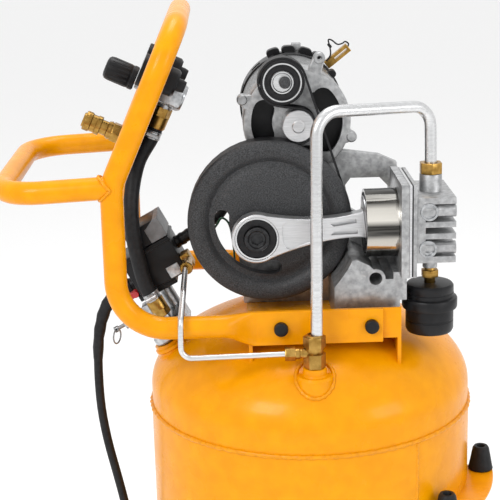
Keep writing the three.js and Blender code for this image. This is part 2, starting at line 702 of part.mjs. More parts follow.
// ---- motor --------------------------------------------------------------------------------------
const motor = assembly(motorX, 0, motorZ);
const bellProfile = [
  [motorShaftRadius + runningGap, bellFrontY - 2], [15, bellFrontY - 2], [15, bellFrontY],
    [bellRadius, bellFrontY],
  [bellRadius, bellBackY], [bellRadius - bellWall, bellBackY], [bellRadius - bellWall, bellFrontY + 6],
  [15, bellFrontY + 6], [15, bellFrontY + 14], [motorShaftRadius + runningGap, bellFrontY + 14],
  [motorShaftRadius + runningGap, bellFrontY - 2],
];
const lugs = lugPlaces.map(([x, z]) => {
  const reach = Math.hypot(x, z);
  const arm = block([bellRadius - 8, bellFrontY, -7],
    [reach, bellFrontY + 10, 7]).rotateY(-Math.atan2(z, x));
  return join(arm, bar("y", lugRadius, bellFrontY, bellFrontY + 10, 12).translate(x, 0, z));
});
const lugHoles = lugPlaces.map(([x, z]) => bar("y", 2.3, -60, 20, 8).translate(x, 0, z));
const bellOpenings = [[158, 200], [-36, 42],
  [240, 286]].map(([from, to]) => slab(arcSlot(27, 50, from, to), -40, 0, 3));
const idlerPad = bar("y", 13, bellFrontY, bellFrontY + 12, 20).translate(idlerPlace[0], 0, idlerPlace[1]);
piece(motor, "motor_front_bracket", cut(join(turned("y", bellProfile, 24), ...lugs, idlerPad),
  ...bellOpenings, ...lugHoles), aluminium);

const rotorProfile = [
  [0, beltNearY - 3], [motorShaftRadius, beltNearY - 3], [motorShaftRadius, beltNearY - 0.6],
    [pinionRadius, beltNearY - 0.6],
  [pinionRadius, beltFarY + 0.6], [motorShaftRadius, beltFarY + 0.6], [motorShaftRadius, 8],
  [18, 8], [statorBoreRadius - 2, 14], [statorBoreRadius - 2, statorBackY - 4], [18, statorBackY + 2],
  [motorShaftRadius, statorBackY + 2], [motorShaftRadius, fanY - 2], [fanRadius, fanY],
  [fanRadius, fanY + 12], [motorShaftRadius, fanY + 14], [motorShaftRadius, shaftEndY], [0, shaftEndY],
];
piece(motor, "motor_rotor", turned("y", rotorProfile, 20), copper);
piece(motor, "motor_stator", sleeve("y", statorRadius, statorBoreRadius, bellBackY + gap, statorBackY,
  32), steel);

const coverWall = 4;
const coverProfile = [
  [statorRadius - 3, statorBackY + gap], [rearCoverRadius, statorBackY + gap],
    [rearCoverRadius, rearCoverBackY],
  [14, rearCoverBackY], [14, rearCoverBackY - 3.5], [rearCoverRadius - coverWall, rearCoverBackY - 3.5],
  [rearCoverRadius - coverWall, statorBackY + 4], [statorRadius - 3, statorBackY + 4],
    [statorRadius - 3, statorBackY + gap],
];
const ventCount = 8;
const vents = [];
for (let k = 0; k < ventCount; k++) {
  const vent = block([rearCoverRadius - 8, statorBackY + 7, -4],
    [rearCoverRadius + 5, rearCoverBackY - 16, 4]);
  vents.push(vent.rotateY((k * 2 * Math.PI) / ventCount));
}
const tabs = [[105, 111], [88, 94], [69, 75], [57, 60]].map(([from, to]) =>
  slab(arcSlot(rearCoverRadius - 3, baffleRadius, from, to), rearCoverBackY - 15, rearCoverBackY - 2, 4));
const coverShell = cut(turned("y", coverProfile, 28), ...vents);
piece(motor, "motor_rear_cover", join(coverShell, ...tabs), blackPlastic);

const brushAngle = -38 * degree;
const brushOffset = 8.4; // of its middle, above the radius at that angle
const brushHolder = block([rearCoverRadius + gap, 100, brushOffset - 5],
  [rearCoverRadius + 34, 110, brushOffset + 5]).rotateY(brushAngle);
piece(motor, "brush_holder", brushHolder, brass);

const idlerMount = join(
  bar("y", idlerBoreRadius - runningGap, beltNearY - 3, bellFrontY - gap, 20),
  hexagon("y", 15, beltNearY - 8, beltNearY - 2).translate(2, 0, 0),
);
const idlerSeat = piece(motor, "idler_mount", idlerMount, steel);
idlerSeat.position.set(idlerPlace[0], 0, idlerPlace[1]);
const idlerProfile = [
  [idlerBoreRadius, beltNearY], [idlerRadius - 5, beltNearY], [idlerRadius - 2, beltNearY - 1.5],
    [idlerRadius, beltNearY - 1.5],
  [idlerRadius, beltFarY + 1.5], [idlerBoreRadius, beltFarY + 1.5], [idlerBoreRadius, beltNearY],
];
const idler = piece(motor, "idler_pulley", turned("y", idlerProfile, 28), blackPlastic);
idler.position.set(idlerPlace[0], 0, idlerPlace[1]);

// The belt runs up from the flywheel, round the idler and back over the motor's pinion, which its
// back drives. Pulleys are [x, z, radius, way round], with 1 counter-clockwise and -1 clockwise.
function beltLoop(pulleys) {
  const leaving = pulleys.map(([x, z, r, way], i) => {
    const [nextX, nextZ, nextR, nextWay] = pulleys[(i + 1) % pulleys.length];
    const distance = Math.hypot(nextX - x, nextZ - z);
    const bearingAngle = Math.atan2(nextZ - z, nextX - x);
    const normal = bearingAngle - Math.acos((way * r - nextWay * nextR) / distance);
    return { normal, leave: way > 0 ? normal : normal + Math.PI,
      arrive: nextWay > 0 ? normal : normal + Math.PI };
  });
  const loop = new THREE.Shape();
  pulleys.forEach(([x, z, r, way], i) => {
    const arrive = leaving[(i + pulleys.length - 1) % pulleys.length].arrive;
    loop.absarc(x, z, r, arrive, leaving[i].leave, way < 0);
  });
  return loop;
}
const beltPulleys = (inside, outside) => [
  [pumpX - motorX, pumpZ - motorZ, beltSeatRadius + inside, 1],
  [...idlerPlace, idlerRadius + inside, 1],
  [0, 0, pinionRadius + outside, -1],
];
const beltShape = beltLoop(beltPulleys(beltGap + beltThickness, beltGap));
beltShape.holes.push(beltLoop(beltPulleys(beltGap, beltGap + beltThickness)));
piece(motor, "drive_belt", slab(beltShape, beltNearY, beltFarY, 14), rubber);

// ---- discharge and bleed lines ------------------------------------------------------------------
const lines = assembly();
const bleedZ = teeBottomZ + 15.4;
const tee = join(
  hexagon("z", teeRadius * 2 - 1, teeBottomZ, teeTopZ - 6),
  bar("z", teeRadius - 2, teeBottomZ + 1, teeTopZ + 2, 16),
  hexagon("z", 21, teeTopZ, teeTopZ + 14),
  bar("x", 6, -21, 0, 16).translate(0, 0, bleedZ),
  hexagon("x", 14, -31, -20).translate(0, 0, bleedZ),
).translate([teePlaceX, teePlaceY, 0]);

const tubeLean = 2.5;
const outletX = headCentreX;
const outletY = portY;
const dischargeRoute = new BentPath([
  [teePlaceX + tubeLean, teePlaceY, teeTopZ + 4],
  [teePlaceX + tubeLean + 2.5, teePlaceY, 887],
  [outletX - 1, outletY, 879],
  [outletX, outletY, outletBossTopZ + 4],
], 24, 5);
piece(lines, "discharge_tube", tube(dischargeRoute, dischargeTubeRadius, 12), polished);
const headNutHole = bar("z", dischargeTubeRadius + gap * 2, outletBossTopZ - 1, outletBossTopZ + 20,
  16).translate(outletX, outletY, 0);
const headNut = cut(hexagon("z", 22, outletBossTopZ + gap, outletBossTopZ + 12).translate(outletX,
  outletY, 0), headNutHole);
piece(lines, "discharge_nut_head", headNut, brass);

const bleedRoute = new BentPath([
  [teePlaceX - 24, teePlaceY, bleedZ],
  [-142, -151, bleedZ - 0.5],
  [-141.5, -151, 672],
  [-138.5, -118, 695],
  [-137.5, -56, 702],
], 12, 3);
piece(lines, "bleed_tube", tube(bleedRoute, bleedTubeRadius, 8), polished);
const teeSockets = [
  bar("z", dischargeTubeRadius + runningGap, teeTopZ + 3, teeTopZ + 20,
    16).translate(teePlaceX + tubeLean, teePlaceY, 0),
  bar("x", bleedTubeRadius + runningGap, -40, -24 + gap, 12).translate(teePlaceX, teePlaceY, bleedZ),
];
piece(lines, "check_valve_tee", cut(tee, ...teeSockets), brass);

// ---- manifold, relief valve and pressure switch, leaning out on the dome's left -----------------
const controls = assembly(...manifoldPlace, manifoldTilt);
const portLocal = [14, -15];
const switchMiddleY = 27;
const reliefY = 7;
const reliefZ = 50;
const stemHole = bar("x", 2.2 + gap, -40, -28, 12).translate(0, reliefY, reliefZ);
const manifoldBody = join(
  bar("z", 14, 12 + gap, 20, 20),
  block([-6, -26, 18], [34, 36, 38]),
  block([-6, -2, 36], [12, 16, 60]),
  bar("z", 8, 30, 44, 16).translate(...portLocal, 0),
  bar("z", 8, 30, 64 - gap, 16).translate(24, switchMiddleY, 0),
  hexagon("x", 14, -22, -4).translate(0, reliefY, reliefZ),
  bar("x", 6, -34, -20, 16).translate(0, reliefY, reliefZ),
);
piece(controls, "manifold", cut(manifoldBody, stemHole), steel);
const switchBody = join(
  block([-4, switchMiddleY - 22, 64], [44, switchMiddleY + 22, switchBaseZ + 1]),
  block([0, switchMiddleY - switchDepth / 2, switchBaseZ],
    [switchWidth, switchMiddleY + switchDepth / 2, switchBaseZ + switchBodyHeight]),
  bar("x", 7.5, -15, 2, 16, 9).translate(0, 30, 82),
);
piece(controls, "pressure_switch", switchBody, blackPlastic);
const switchTop = switchBaseZ + switchBodyHeight;
const switchCover = cut(
  block([18, switchMiddleY - 26, switchTop + gap], [switchWidth, switchMiddleY + 26, switchTop + 24]),
  block([0, -100, -20], [60, 100, 20]).rotateY(-0.45).translate(6, 0, switchTop + 44),
);
piece(controls, "switch_cover", switchCover, grey);
const lever = piece(controls, "switch_lever",
  join(bar("y", 4, -5, 5, 12), block([-13, -5, -3.5], [-2, 5, 3.5])), red);
lever.position.set(-4.8, 6, 76);

const eyeX = -45.5;
const pullRingRadius = 8.5;
const stem = cut(join(bar("x", 2.2, -48, -28.5, 12), bar("x", 3.6, -48, -43, 12)),
  bar("y", 2, -5, 5, 10).translate(eyeX, 0, 0));
const reliefStem = piece(controls, "relief_stem", stem, steel);
reliefStem.position.set(0, reliefY, reliefZ);
// The pull ring hangs plumb through the stem's eye.
const ringTurn = new THREE.TorusGeometry(pullRingRadius, 0.9, 5, 14).rotateY(Math.PI / 2)
  .translate(0, 0, -pullRingRadius);
const reliefRing = piece(controls, "relief_ring", ringTurn, steel);
reliefRing.position.set(eyeX, reliefY, reliefZ);
reliefRing.rotation.y = -manifoldTilt * degree;

const unloader = join(
  block([switchWidth + gap, -8, 74], [switchWidth + 11, 12, 92]),
  bar("y", 6.5, -28, -4, 16).translate(switchWidth + 5, 0, 83),
  hexagon("y", 13, -36, -26).translate(switchWidth + 5, 0, 83),
);
piece(controls, "bleed_elbow", unloader, brass);

// ---- regulator hose between the manifold and the regulator --------------------------------------
const hoseFittingLow = join(hexagon("z", 18, 44 + gap, 54),
  bar("z", hoseRadius + 1.6, 53, 66, 20)).translate([...portLocal, 0]);
const panelX = handleBackX + ((panelZ - handleKneeZ) * (handleTopX - handleBackX)) / (handleTopZ - handleKneeZ);
const panel = assembly(panelX, 0, panelZ, panelTilt);
const regulatorMiddleX = regulatorAxisX + 2;
const hoseFittingHigh = join(hexagon("z", 18, -3, 9 - gap),
  bar("z", hoseRadius + 1.6, -16, -2, 20)).translate([regulatorAxisX, 0, 0]);

const fromGroup = (group, x, y, z) => {
  group.updateMatrix();
  return new THREE.Vector3(x, y, z).applyMatrix4(group.matrix).toArray();
};
const hosePoints = [
  fromGroup(controls, ...portLocal, 66 + gap),
  fromGroup(controls, ...portLocal, 80),
  [-188, -28, 696],
  [-194.5, -28, 735],
  [-195, -20, 775],
  [-187, -7, 812],
  fromGroup(panel, regulatorAxisX, 0, -30),
  fromGroup(panel, regulatorAxisX, 0, -16 - gap),
];
piece(lines, "regulator_hose", tube(smoothPath(hosePoints), hoseRadius, 10, 20), rubber);
piece(controls, "hose_fitting_manifold", hoseFittingLow, brass);
piece(panel, "hose_fitting_regulator", hoseFittingHigh, brass);

// ---- control panel between the handle's tubes ---------------------------------------------------
const panelHalfWidth = plateInnerY - gap;
const panelBackX = panelFrontX + panelThickness;
const panelShape = cut(
  join(
    block([panelFrontX, -panelHalfWidth, panelLow], [panelBackX, panelHalfWidth, panelShoulder]),
    block([panelFrontX, -panelTopHalfWidth, panelLow], [panelBackX, panelTopHalfWidth, panelHigh]),
    block([panelFrontX, -panelHalfWidth, panelLow],
      [panelFrontX + 16, panelHalfWidth, panelLow + panelThickness]),
    block([panelFrontX, -panelTopHalfWidth, panelHigh - panelThickness],
      [panelFrontX + 16, panelTopHalfWidth, panelHigh]),
  ),
  bar("x", 10.5, -20, 20, 24).translate(0, 0, knobPlaceZ),
  bar("x", 8, -20, 20, 20).translate(0, 0, couplerPlaceZ),
  ...[-1, 1].map((side) => bar("x", gaugeRadius - 1, -20, 20, 20).translate(0, side * gaugeSpread,
    gaugePlaceZ)),
);
piece(panel, "control_panel", panelShape, blackPlastic);

// The regulator's neck passes through the panel and is held by a ring nut on its face.
const regulator = cut(
  join(
    bar("x", 10, panelFrontX - 8, panelBackX + 2, 24),
    bar("x", 16, panelFrontX - 3 - gap, panelFrontX - gap, 20),
    bar("x", regulatorRadius, panelBackX + gap, regulatorMiddleX + 15, 20),
    block([regulatorMiddleX - 12, -20, -9], [regulatorMiddleX + 12, 20, 9]),
    bar("z", 9, -16 + gap, 0, 16).translate(regulatorAxisX, 0, 0),
  ),
  bar("x", 5.2, panelFrontX - 20, panelFrontX + 4, 16),
).translate([0, 0, knobPlaceZ]);
piece(panel, "regulator_body", regulator, aluminium);
const knobFrom = panelFrontX - 8 - 1;
const knob = join(
  turned("x", [[0, knobFrom], [knobRadius - 1, knobFrom], [knobRadius, knobFrom - 4],
    [knobRadius, knobFrom - knobLength + 2],
    [knobRadius - 2, knobFrom - knobLength], [0, knobFrom - knobLength]], 24),
  bar("x", 4.6, knobFrom - 2, panelFrontX + 2, 16),
);
const knobMesh = piece(panel, "regulator_knob", knob, blackPlastic);
knobMesh.position.set(0, 0, knobPlaceZ);

const gaugeProfile = [
  [0, panelFrontX - 3], [gaugeRadius - 4, panelFrontX - 3], [gaugeRadius - 4, panelFrontX - 9],
    [gaugeRadius + 1, panelFrontX - 9],
  [gaugeRadius + 1, panelFrontX - gap], [gaugeRadius - 1.6, panelFrontX - gap],
    [gaugeRadius - 1.6, panelFrontX + 30],
  [gaugeRadius - 4, panelFrontX + 33], [7, panelFrontX + 33], [7, panelFrontX + 42],
    [0, panelFrontX + 42],
];
for (const [name, side] of [["tank", -1], ["outlet", 1]]) {
  const gauge = piece(panel, `gauge_${name}`, turned("x", gaugeProfile, 20), blackPlastic);
  gauge.position.set(0, side * gaugeSpread, gaugePlaceZ);
  const needle = join(
    bar("x", 1.6, panelFrontX - 5.4, panelFrontX - 3 - gap, 10),
    block([panelFrontX - 5.2, -0.8, -10.5], [panelFrontX - 4.2, 0.8, 3.5]).rotateX(-45 * degree),
  );
  const needleMesh = piece(panel, `needle_${name}`, needle, red);
  needleMesh.position.set(0, side * gaugeSpread, gaugePlaceZ);
}

// Quick coupler: a body screwed through the panel and a sprung sleeve that slides back along it.
const couplerProfile = [
  [5, panelFrontX - 46], [8.2, panelFrontX - 46], [8.2, panelFrontX - 18], [9.6, panelFrontX - 17],
    [9.6, panelFrontX - 2],
  [7.6, panelFrontX - 2], [7.6, panelBackX + 2], [5, panelBackX + 2], [5, panelFrontX - 46],
];
const coupler = join(
  turned("x", couplerProfile, 16),
  cut(hexagon("x", 20, panelFrontX - 12, panelFrontX - gap), bar("x", 7, -60, 20, 16)),
  cut(hexagon("x", 20, panelBackX + gap, panelBackX + 8), bar("x", 7, -60, 20, 16)),
);
const couplerMesh = piece(panel, "coupler_body", coupler, brass);
couplerMesh.position.set(0, 0, couplerPlaceZ);
const sleeveProfile = [
  [8.2 + runningGap, panelFrontX - 44], [10.8, panelFrontX - 44], [10.8, panelFrontX - 37],
    [9.8, panelFrontX - 36],
  [9.8, panelFrontX - 31], [10.8, panelFrontX - 30], [10.8, panelFrontX - 25],
    [8.2 + runningGap, panelFrontX - 25],
  [8.2 + runningGap, panelFrontX - 44],
];
const sleeveMesh = piece(panel, "coupler_sleeve", turned("x", sleeveProfile, 18), brass);
sleeveMesh.position.set(0, 0, couplerPlaceZ);

// ---- motor lead from the pressure switch --------------------------------------------------------
const leadPoints = [
  fromGroup(controls, switchWidth + 1, 30, 100),
  fromGroup(controls, switchWidth + 22, 31, 101),
  [-98, 30, 741],
  [-80, 42, 772],
  [-64, 42, 802],
  [motorX - (statorRadius + gap + 0.4) * 0.78, 36, motorZ - (statorRadius + gap + 0.4) * 0.626],
];
piece(lines, "motor_lead", cut(tube(smoothPath(leadPoints), 5, 8, 14),
  bar("y", statorRadius + gap, 0, 70, 32).translate(motorX, 0, motorZ)), rubber);

// ---- power cord: a hanging stretch, a coil on the floor and the plug ----------------------------
const cord = assembly();
const cordPoints = [
  [-209.2, 15, 660.9],
  [-224, 15, 652],
  [-237, 13, 630],
  [-244.5, 11, 592],
  [-245.5, 10, 530],
  [-240, 9, 479],
  [-228, 9, 418],
  [-216, 10, 350],
  [-208.5, 12, 280],
  [-207, 17, 200],
  [-210, 26, 130],
  [-216, 37, 80],
  [-222, 42, 48],
  [-226, 34, 30.5],
];
piece(cord, "power_cord", tube(smoothPath(cordPoints), cordRadius, 8, 32), rubber);
const coilProfile = (grow) => [
  [coilInnerRadius - grow, 0.2 - grow], [coilOuterRadius + grow, 0.2 - grow],
    [coilOuterRadius + grow, 0.2 + coilHeight + grow],
  [coilInnerRadius - grow, 0.2 + coilHeight + grow], [coilInnerRadius - grow, 0.2 - grow],
];
const coilSolid = (grow) => turned("z", coilProfile(grow), 24).translate(...coilMiddle, 0);
piece(cord, "cord_coil", coilSolid(0), rubber);
const plugX = coilMiddle[0] - coilOuterRadius + cordRadius;
const plugZ = 12;
const plugShape = cut(
  join(
    bar("y", 6.5, 52, 66, 16, 9).translate(plugX, 0, plugZ),
    bar("y", 6, 24, 54, 16, 6.5).translate(plugX, 0, plugZ),
    block([plugX - 13, 64, 0.3], [plugX + 13, 98, 24]),
    block([plugX - 8, 96, 15], [plugX - 1.7, 116, 16.6]),
    block([plugX + 1.7, 96, 15], [plugX + 8, 116, 16.6]),
    bar("y", 2.4, 96, 118, 10).translate(plugX, 0, 7),
  ),
  coilSolid(gap),
);
piece(cord, "plug", plugShape, rubber);

// ---- the part's frame: origin on the floor, at the middle of the base ---------------------------
compressor.updateMatrixWorld(true);
const extent = new THREE.Box3();
for (const group of compressor.children) if (group !== cord) extent.expandByObject(group, true);
const middle = extent.getCenter(new THREE.Vector3());
const part = new THREE.Group();
compressor.position.set(-middle.x, -middle.y, -extent.min.z);
part.add(compressor);

export default part;
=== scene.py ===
# An upright belt-driven air compressor with its cover off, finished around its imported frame.
# Lengths are millimetres from the tank's axis unless a name says otherwise; mm turns them into metres.
import json
import math
import random

import bpy
from mathutils import Matrix, Vector

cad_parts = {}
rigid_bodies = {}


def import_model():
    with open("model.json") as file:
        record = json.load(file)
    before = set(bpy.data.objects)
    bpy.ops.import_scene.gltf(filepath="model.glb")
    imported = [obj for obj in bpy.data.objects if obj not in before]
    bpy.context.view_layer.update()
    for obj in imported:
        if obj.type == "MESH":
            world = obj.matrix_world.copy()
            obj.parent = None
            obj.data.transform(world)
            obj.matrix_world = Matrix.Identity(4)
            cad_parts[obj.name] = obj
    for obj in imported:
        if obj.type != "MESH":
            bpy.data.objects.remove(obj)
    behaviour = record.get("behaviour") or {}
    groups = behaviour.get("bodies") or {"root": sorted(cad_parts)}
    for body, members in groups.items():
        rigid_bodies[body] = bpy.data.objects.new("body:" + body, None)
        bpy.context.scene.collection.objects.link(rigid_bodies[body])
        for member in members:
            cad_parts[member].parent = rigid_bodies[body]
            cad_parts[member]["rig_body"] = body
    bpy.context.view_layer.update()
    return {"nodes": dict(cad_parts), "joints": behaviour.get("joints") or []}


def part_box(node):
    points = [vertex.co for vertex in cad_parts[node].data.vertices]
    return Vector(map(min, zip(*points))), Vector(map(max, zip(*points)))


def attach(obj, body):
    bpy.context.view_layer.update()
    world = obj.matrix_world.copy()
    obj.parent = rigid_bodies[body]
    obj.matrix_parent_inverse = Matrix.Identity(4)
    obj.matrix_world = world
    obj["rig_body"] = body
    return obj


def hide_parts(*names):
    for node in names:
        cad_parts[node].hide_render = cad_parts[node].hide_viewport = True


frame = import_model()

joints = {joint["name"]: joint for joint in frame["joints"]}
mm = 0.001
controlsTilt, panelTilt = -28, 25
random.seed(7)


def turned(degrees, axis="Y"):
    return Matrix.Rotation(math.radians(degrees), 4, axis)


def moved(*point):
    return Matrix.Translation(Vector(point) * mm)


def jointPlace(name):
    return Matrix.Translation(joints[name]["pos_m"])


def leaning(anchor, local, degrees):
    # a frame turned about Y that puts the local point (in mm) on the anchor (in metres)
    return Matrix.Translation(anchor) @ turned(degrees) @ Matrix.Translation(-Vector(local) * mm)


headLow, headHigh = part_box("tank_top_head")
axisX = (headLow.x + headHigh.x) / 2
rimZ = headLow.z / mm
tankPlace = Matrix.Translation((axisX, 0, 0))
spinPoint = joints["flywheel_spin"]["pos_m"]
pumpPlace = Matrix.Translation((spinPoint[0], 0, spinPoint[2]))
rotorPoint = joints["motor_spin"]["pos_m"]
motorPlace = Matrix.Translation((rotorPoint[0], 0, rotorPoint[2]))
idlerPoint = joints["idler_spin"]["pos_m"]
idlerPlace = Matrix.Translation((idlerPoint[0], 0, idlerPoint[2]))
controlsPlace = leaning(joints["ring_swing"]["pos_m"], (-45.5, 7, 50), controlsTilt)
panelPlace = leaning(joints["knob_turn"]["pos_m"], (0, 0, 25), panelTilt)

# camera, light and floor
camera = {"lens": 96.48, "pitch": 15.44, "yaw": 0.99, "roll": -1.58, "from": (-90.3, -1467.4, 580.5)}


def setCamera():
    bpy.ops.object.camera_add()
    seat = bpy.context.object
    seat.data.lens = camera["lens"]
    seat.data.sensor_width = 36
    x, y, z = camera["from"]
    heading = turned(-camera["yaw"], "Z")
    dip = turned(90 - camera["pitch"], "X")
    roll = turned(camera["roll"], "Z")
    place = Matrix.Translation((axisX + x * mm, y * mm, (rimZ + z) * mm))
    seat.matrix_world = place @ heading @ dip @ roll
    bpy.context.scene.camera = seat


def areaLight(name, place, aim, size, power, shade=(1, 1, 1)):
    bpy.ops.object.light_add(type="AREA", location=place)
    lamp = bpy.context.object
    lamp.name = name
    lamp.data.size = size
    lamp.data.energy = power
    lamp.data.color = shade
    lamp.rotation_euler = (Vector(aim) - Vector(place)).to_track_quat("-Z", "Y").to_euler()


def setStage():
    world = bpy.data.worlds.new("studio")
    bpy.context.scene.world = world
    bpy.context.scene.view_settings.view_transform = "Standard"
    world.use_nodes = True
    world.node_tree.nodes["Background"].inputs["Color"].default_value = (1, 1, 1, 1)
    world.node_tree.nodes["Background"].inputs["Strength"].default_value = 0.95
    areaLight("keyLight", (-1.3, -1.9, 2.3), (0, 0, 0.75), 1.0, 30)
    areaLight("fillLight", (1.9, -1.5, 1.3), (0, 0, 0.75), 0.9, 10)
    areaLight("topLight", (0.1, 0.5, 2.6), (0, 0, 0.7), 1.0, 18)
    bpy.ops.mesh.primitive_plane_add(size=60)
    floor = bpy.context.object
    floor.name = "floor"
    paint = bpy.data.materials.new("paleFloor")
    paint.use_nodes = True
    paint.node_tree.nodes["Principled BSDF"].inputs["Base Color"].default_value = (0.94, 0.94, 0.94, 1)
    paint.node_tree.nodes["Principled BSDF"].inputs["Roughness"].default_value = 0.7
    floor.data.materials.append(paint)


setCamera()
setStage()
print("camera, light and floor")

# finishes: two tones mixed by grain, a roughness range, bump from the grain and a broad swell; the mirror
# steel also gets painted reflection bands by height
finishSpecs = {
    "yellowPaint": dict(slot="yellow_paint", tones=((0.74, 0.275, 0.0), (0.81, 0.32, 0.0)), grain=60,
                        roughness=(0.24, 0.32), bump=0.10, bumpSize=420, coat=0.08, specular=0.15),
    "weldPaint": dict(slot="yellow_paint", tones=((0.66, 0.24, 0.0), (0.81, 0.32, 0.0)), grain=240,
                      roughness=(0.26, 0.42), bump=0.5, bumpSize=520, coat=0.1, specular=0.25),
    "castIron": dict(slot="cast_iron", tones=((0.020, 0.021, 0.022), (0.060, 0.061, 0.064)), grain=760,
                     roughness=(0.42, 0.62), bump=0.55, bumpSize=900, metallic=0.2, specks=0.6,
                     specular=0.3),
    "castAlloy": dict(slot="aluminium", tones=((0.29, 0.293, 0.297), (0.48, 0.484, 0.488)), grain=170,
                      roughness=(0.34, 0.5), bump=0.35, bumpSize=1100, metallic=0.85, specks=0.12),
    "machinedAlloy": dict(slot="aluminium", tones=((0.55, 0.555, 0.56), (0.70, 0.70, 0.71)), grain=60,
                          roughness=(0.26, 0.4), bump=0.12, bumpSize=1500, metallic=0.9, streak=26),
    "brightTube": dict(slot="polished_metal", tones=((0.60, 0.605, 0.61), (0.74, 0.745, 0.75)), grain=40,
                       roughness=(0.22, 0.36), bump=0.06, bumpSize=900, metallic=1.0, streak=14),
    # mirror steel: its bands are a painted reflection, dark and pale stripes by height standing in for the
    # surroundings mirrored in the sleeve
    "mirrorSteel": dict(slot="polished_metal", tones=((0.62, 0.60, 0.56), (0.70, 0.68, 0.63)), grain=30,
                        roughness=(0.05, 0.11), bump=0.02, bumpSize=600, metallic=0.9, streak=18,
                        paintedReflectionBands=((0.0, 0.02), (0.16, 0.03), (0.22, 0.55), (0.36, 0.42), (0.43, 0.015),
                               (0.56, 0.02), (0.64, 0.85), (0.80, 0.70), (0.87, 0.06), (1.0, 0.03))),
    "blackSteel": dict(slot="steel", tones=((0.010, 0.010, 0.011), (0.035, 0.036, 0.038)), grain=220,
                       roughness=(0.3, 0.44), bump=0.2, bumpSize=1300, metallic=0.5, specks=0.15),
    "steel": dict(slot="steel", tones=((0.20, 0.203, 0.207), (0.36, 0.364, 0.368)), grain=110,
                  roughness=(0.26, 0.42), bump=0.15, bumpSize=1300, metallic=0.95, streak=10),
    "zincSteel": dict(slot="steel", tones=((0.32, 0.33, 0.34), (0.56, 0.57, 0.58)), grain=260,
                      roughness=(0.22, 0.4), bump=0.25, bumpSize=1200, metallic=0.9, specks=0.1),
    "brass": dict(slot="brass", tones=((0.30, 0.165, 0.035), (0.50, 0.30, 0.08)), grain=150,
                  roughness=(0.22, 0.38), bump=0.14, bumpSize=1300, metallic=1.0, specks=0.08),
    "winding": dict(slot="winding", tones=((0.10, 0.035, 0.018), (0.30, 0.10, 0.045)), grain=420,
                    roughness=(0.3, 0.5), bump=0.7, bumpSize=900, metallic=0.5, coat=0.3),
    "blackPlastic": dict(slot="black_plastic", tones=((0.005, 0.005, 0.006), (0.011, 0.011, 0.012)),
                         grain=90, roughness=(0.3, 0.44), bump=0.16, bumpSize=1500, specular=0.25),
    "greyPlastic": dict(slot="grey_plastic", tones=((0.13, 0.133, 0.137), (0.20, 0.203, 0.21)), grain=120,
                        roughness=(0.36, 0.5), bump=0.2, bumpSize=1500, specks=0.05),
    "redPlastic": dict(slot="red_plastic", tones=((0.42, 0.010, 0.012), (0.56, 0.018, 0.02)), grain=120,
                       roughness=(0.25, 0.36), bump=0.08, bumpSize=900, coat=0.3),
    "rubber": dict(slot="rubber", tones=((0.006, 0.006, 0.007), (0.015, 0.015, 0.016)), grain=210,
                   roughness=(0.42, 0.6), bump=0.22, bumpSize=1400, specks=0.03, specular=0.25),
    "tyre": dict(slot="tyre", tones=((0.012, 0.012, 0.012), (0.03, 0.03, 0.031)), grain=120,
                 roughness=(0.6, 0.8), bump=0.35, bumpSize=900, specks=0.08),
    "dialWhite": dict(slot="grey_plastic", tones=((0.78, 0.78, 0.76), (0.86, 0.86, 0.84)), grain=80,
                      roughness=(0.4, 0.5), bump=0.03, bumpSize=900),
    "greenWire": dict(slot="rubber", tones=((0.004, 0.07, 0.03), (0.01, 0.12, 0.05)), grain=90,
                      roughness=(0.35, 0.5), bump=0.05, bumpSize=900),
}
finishes = {}


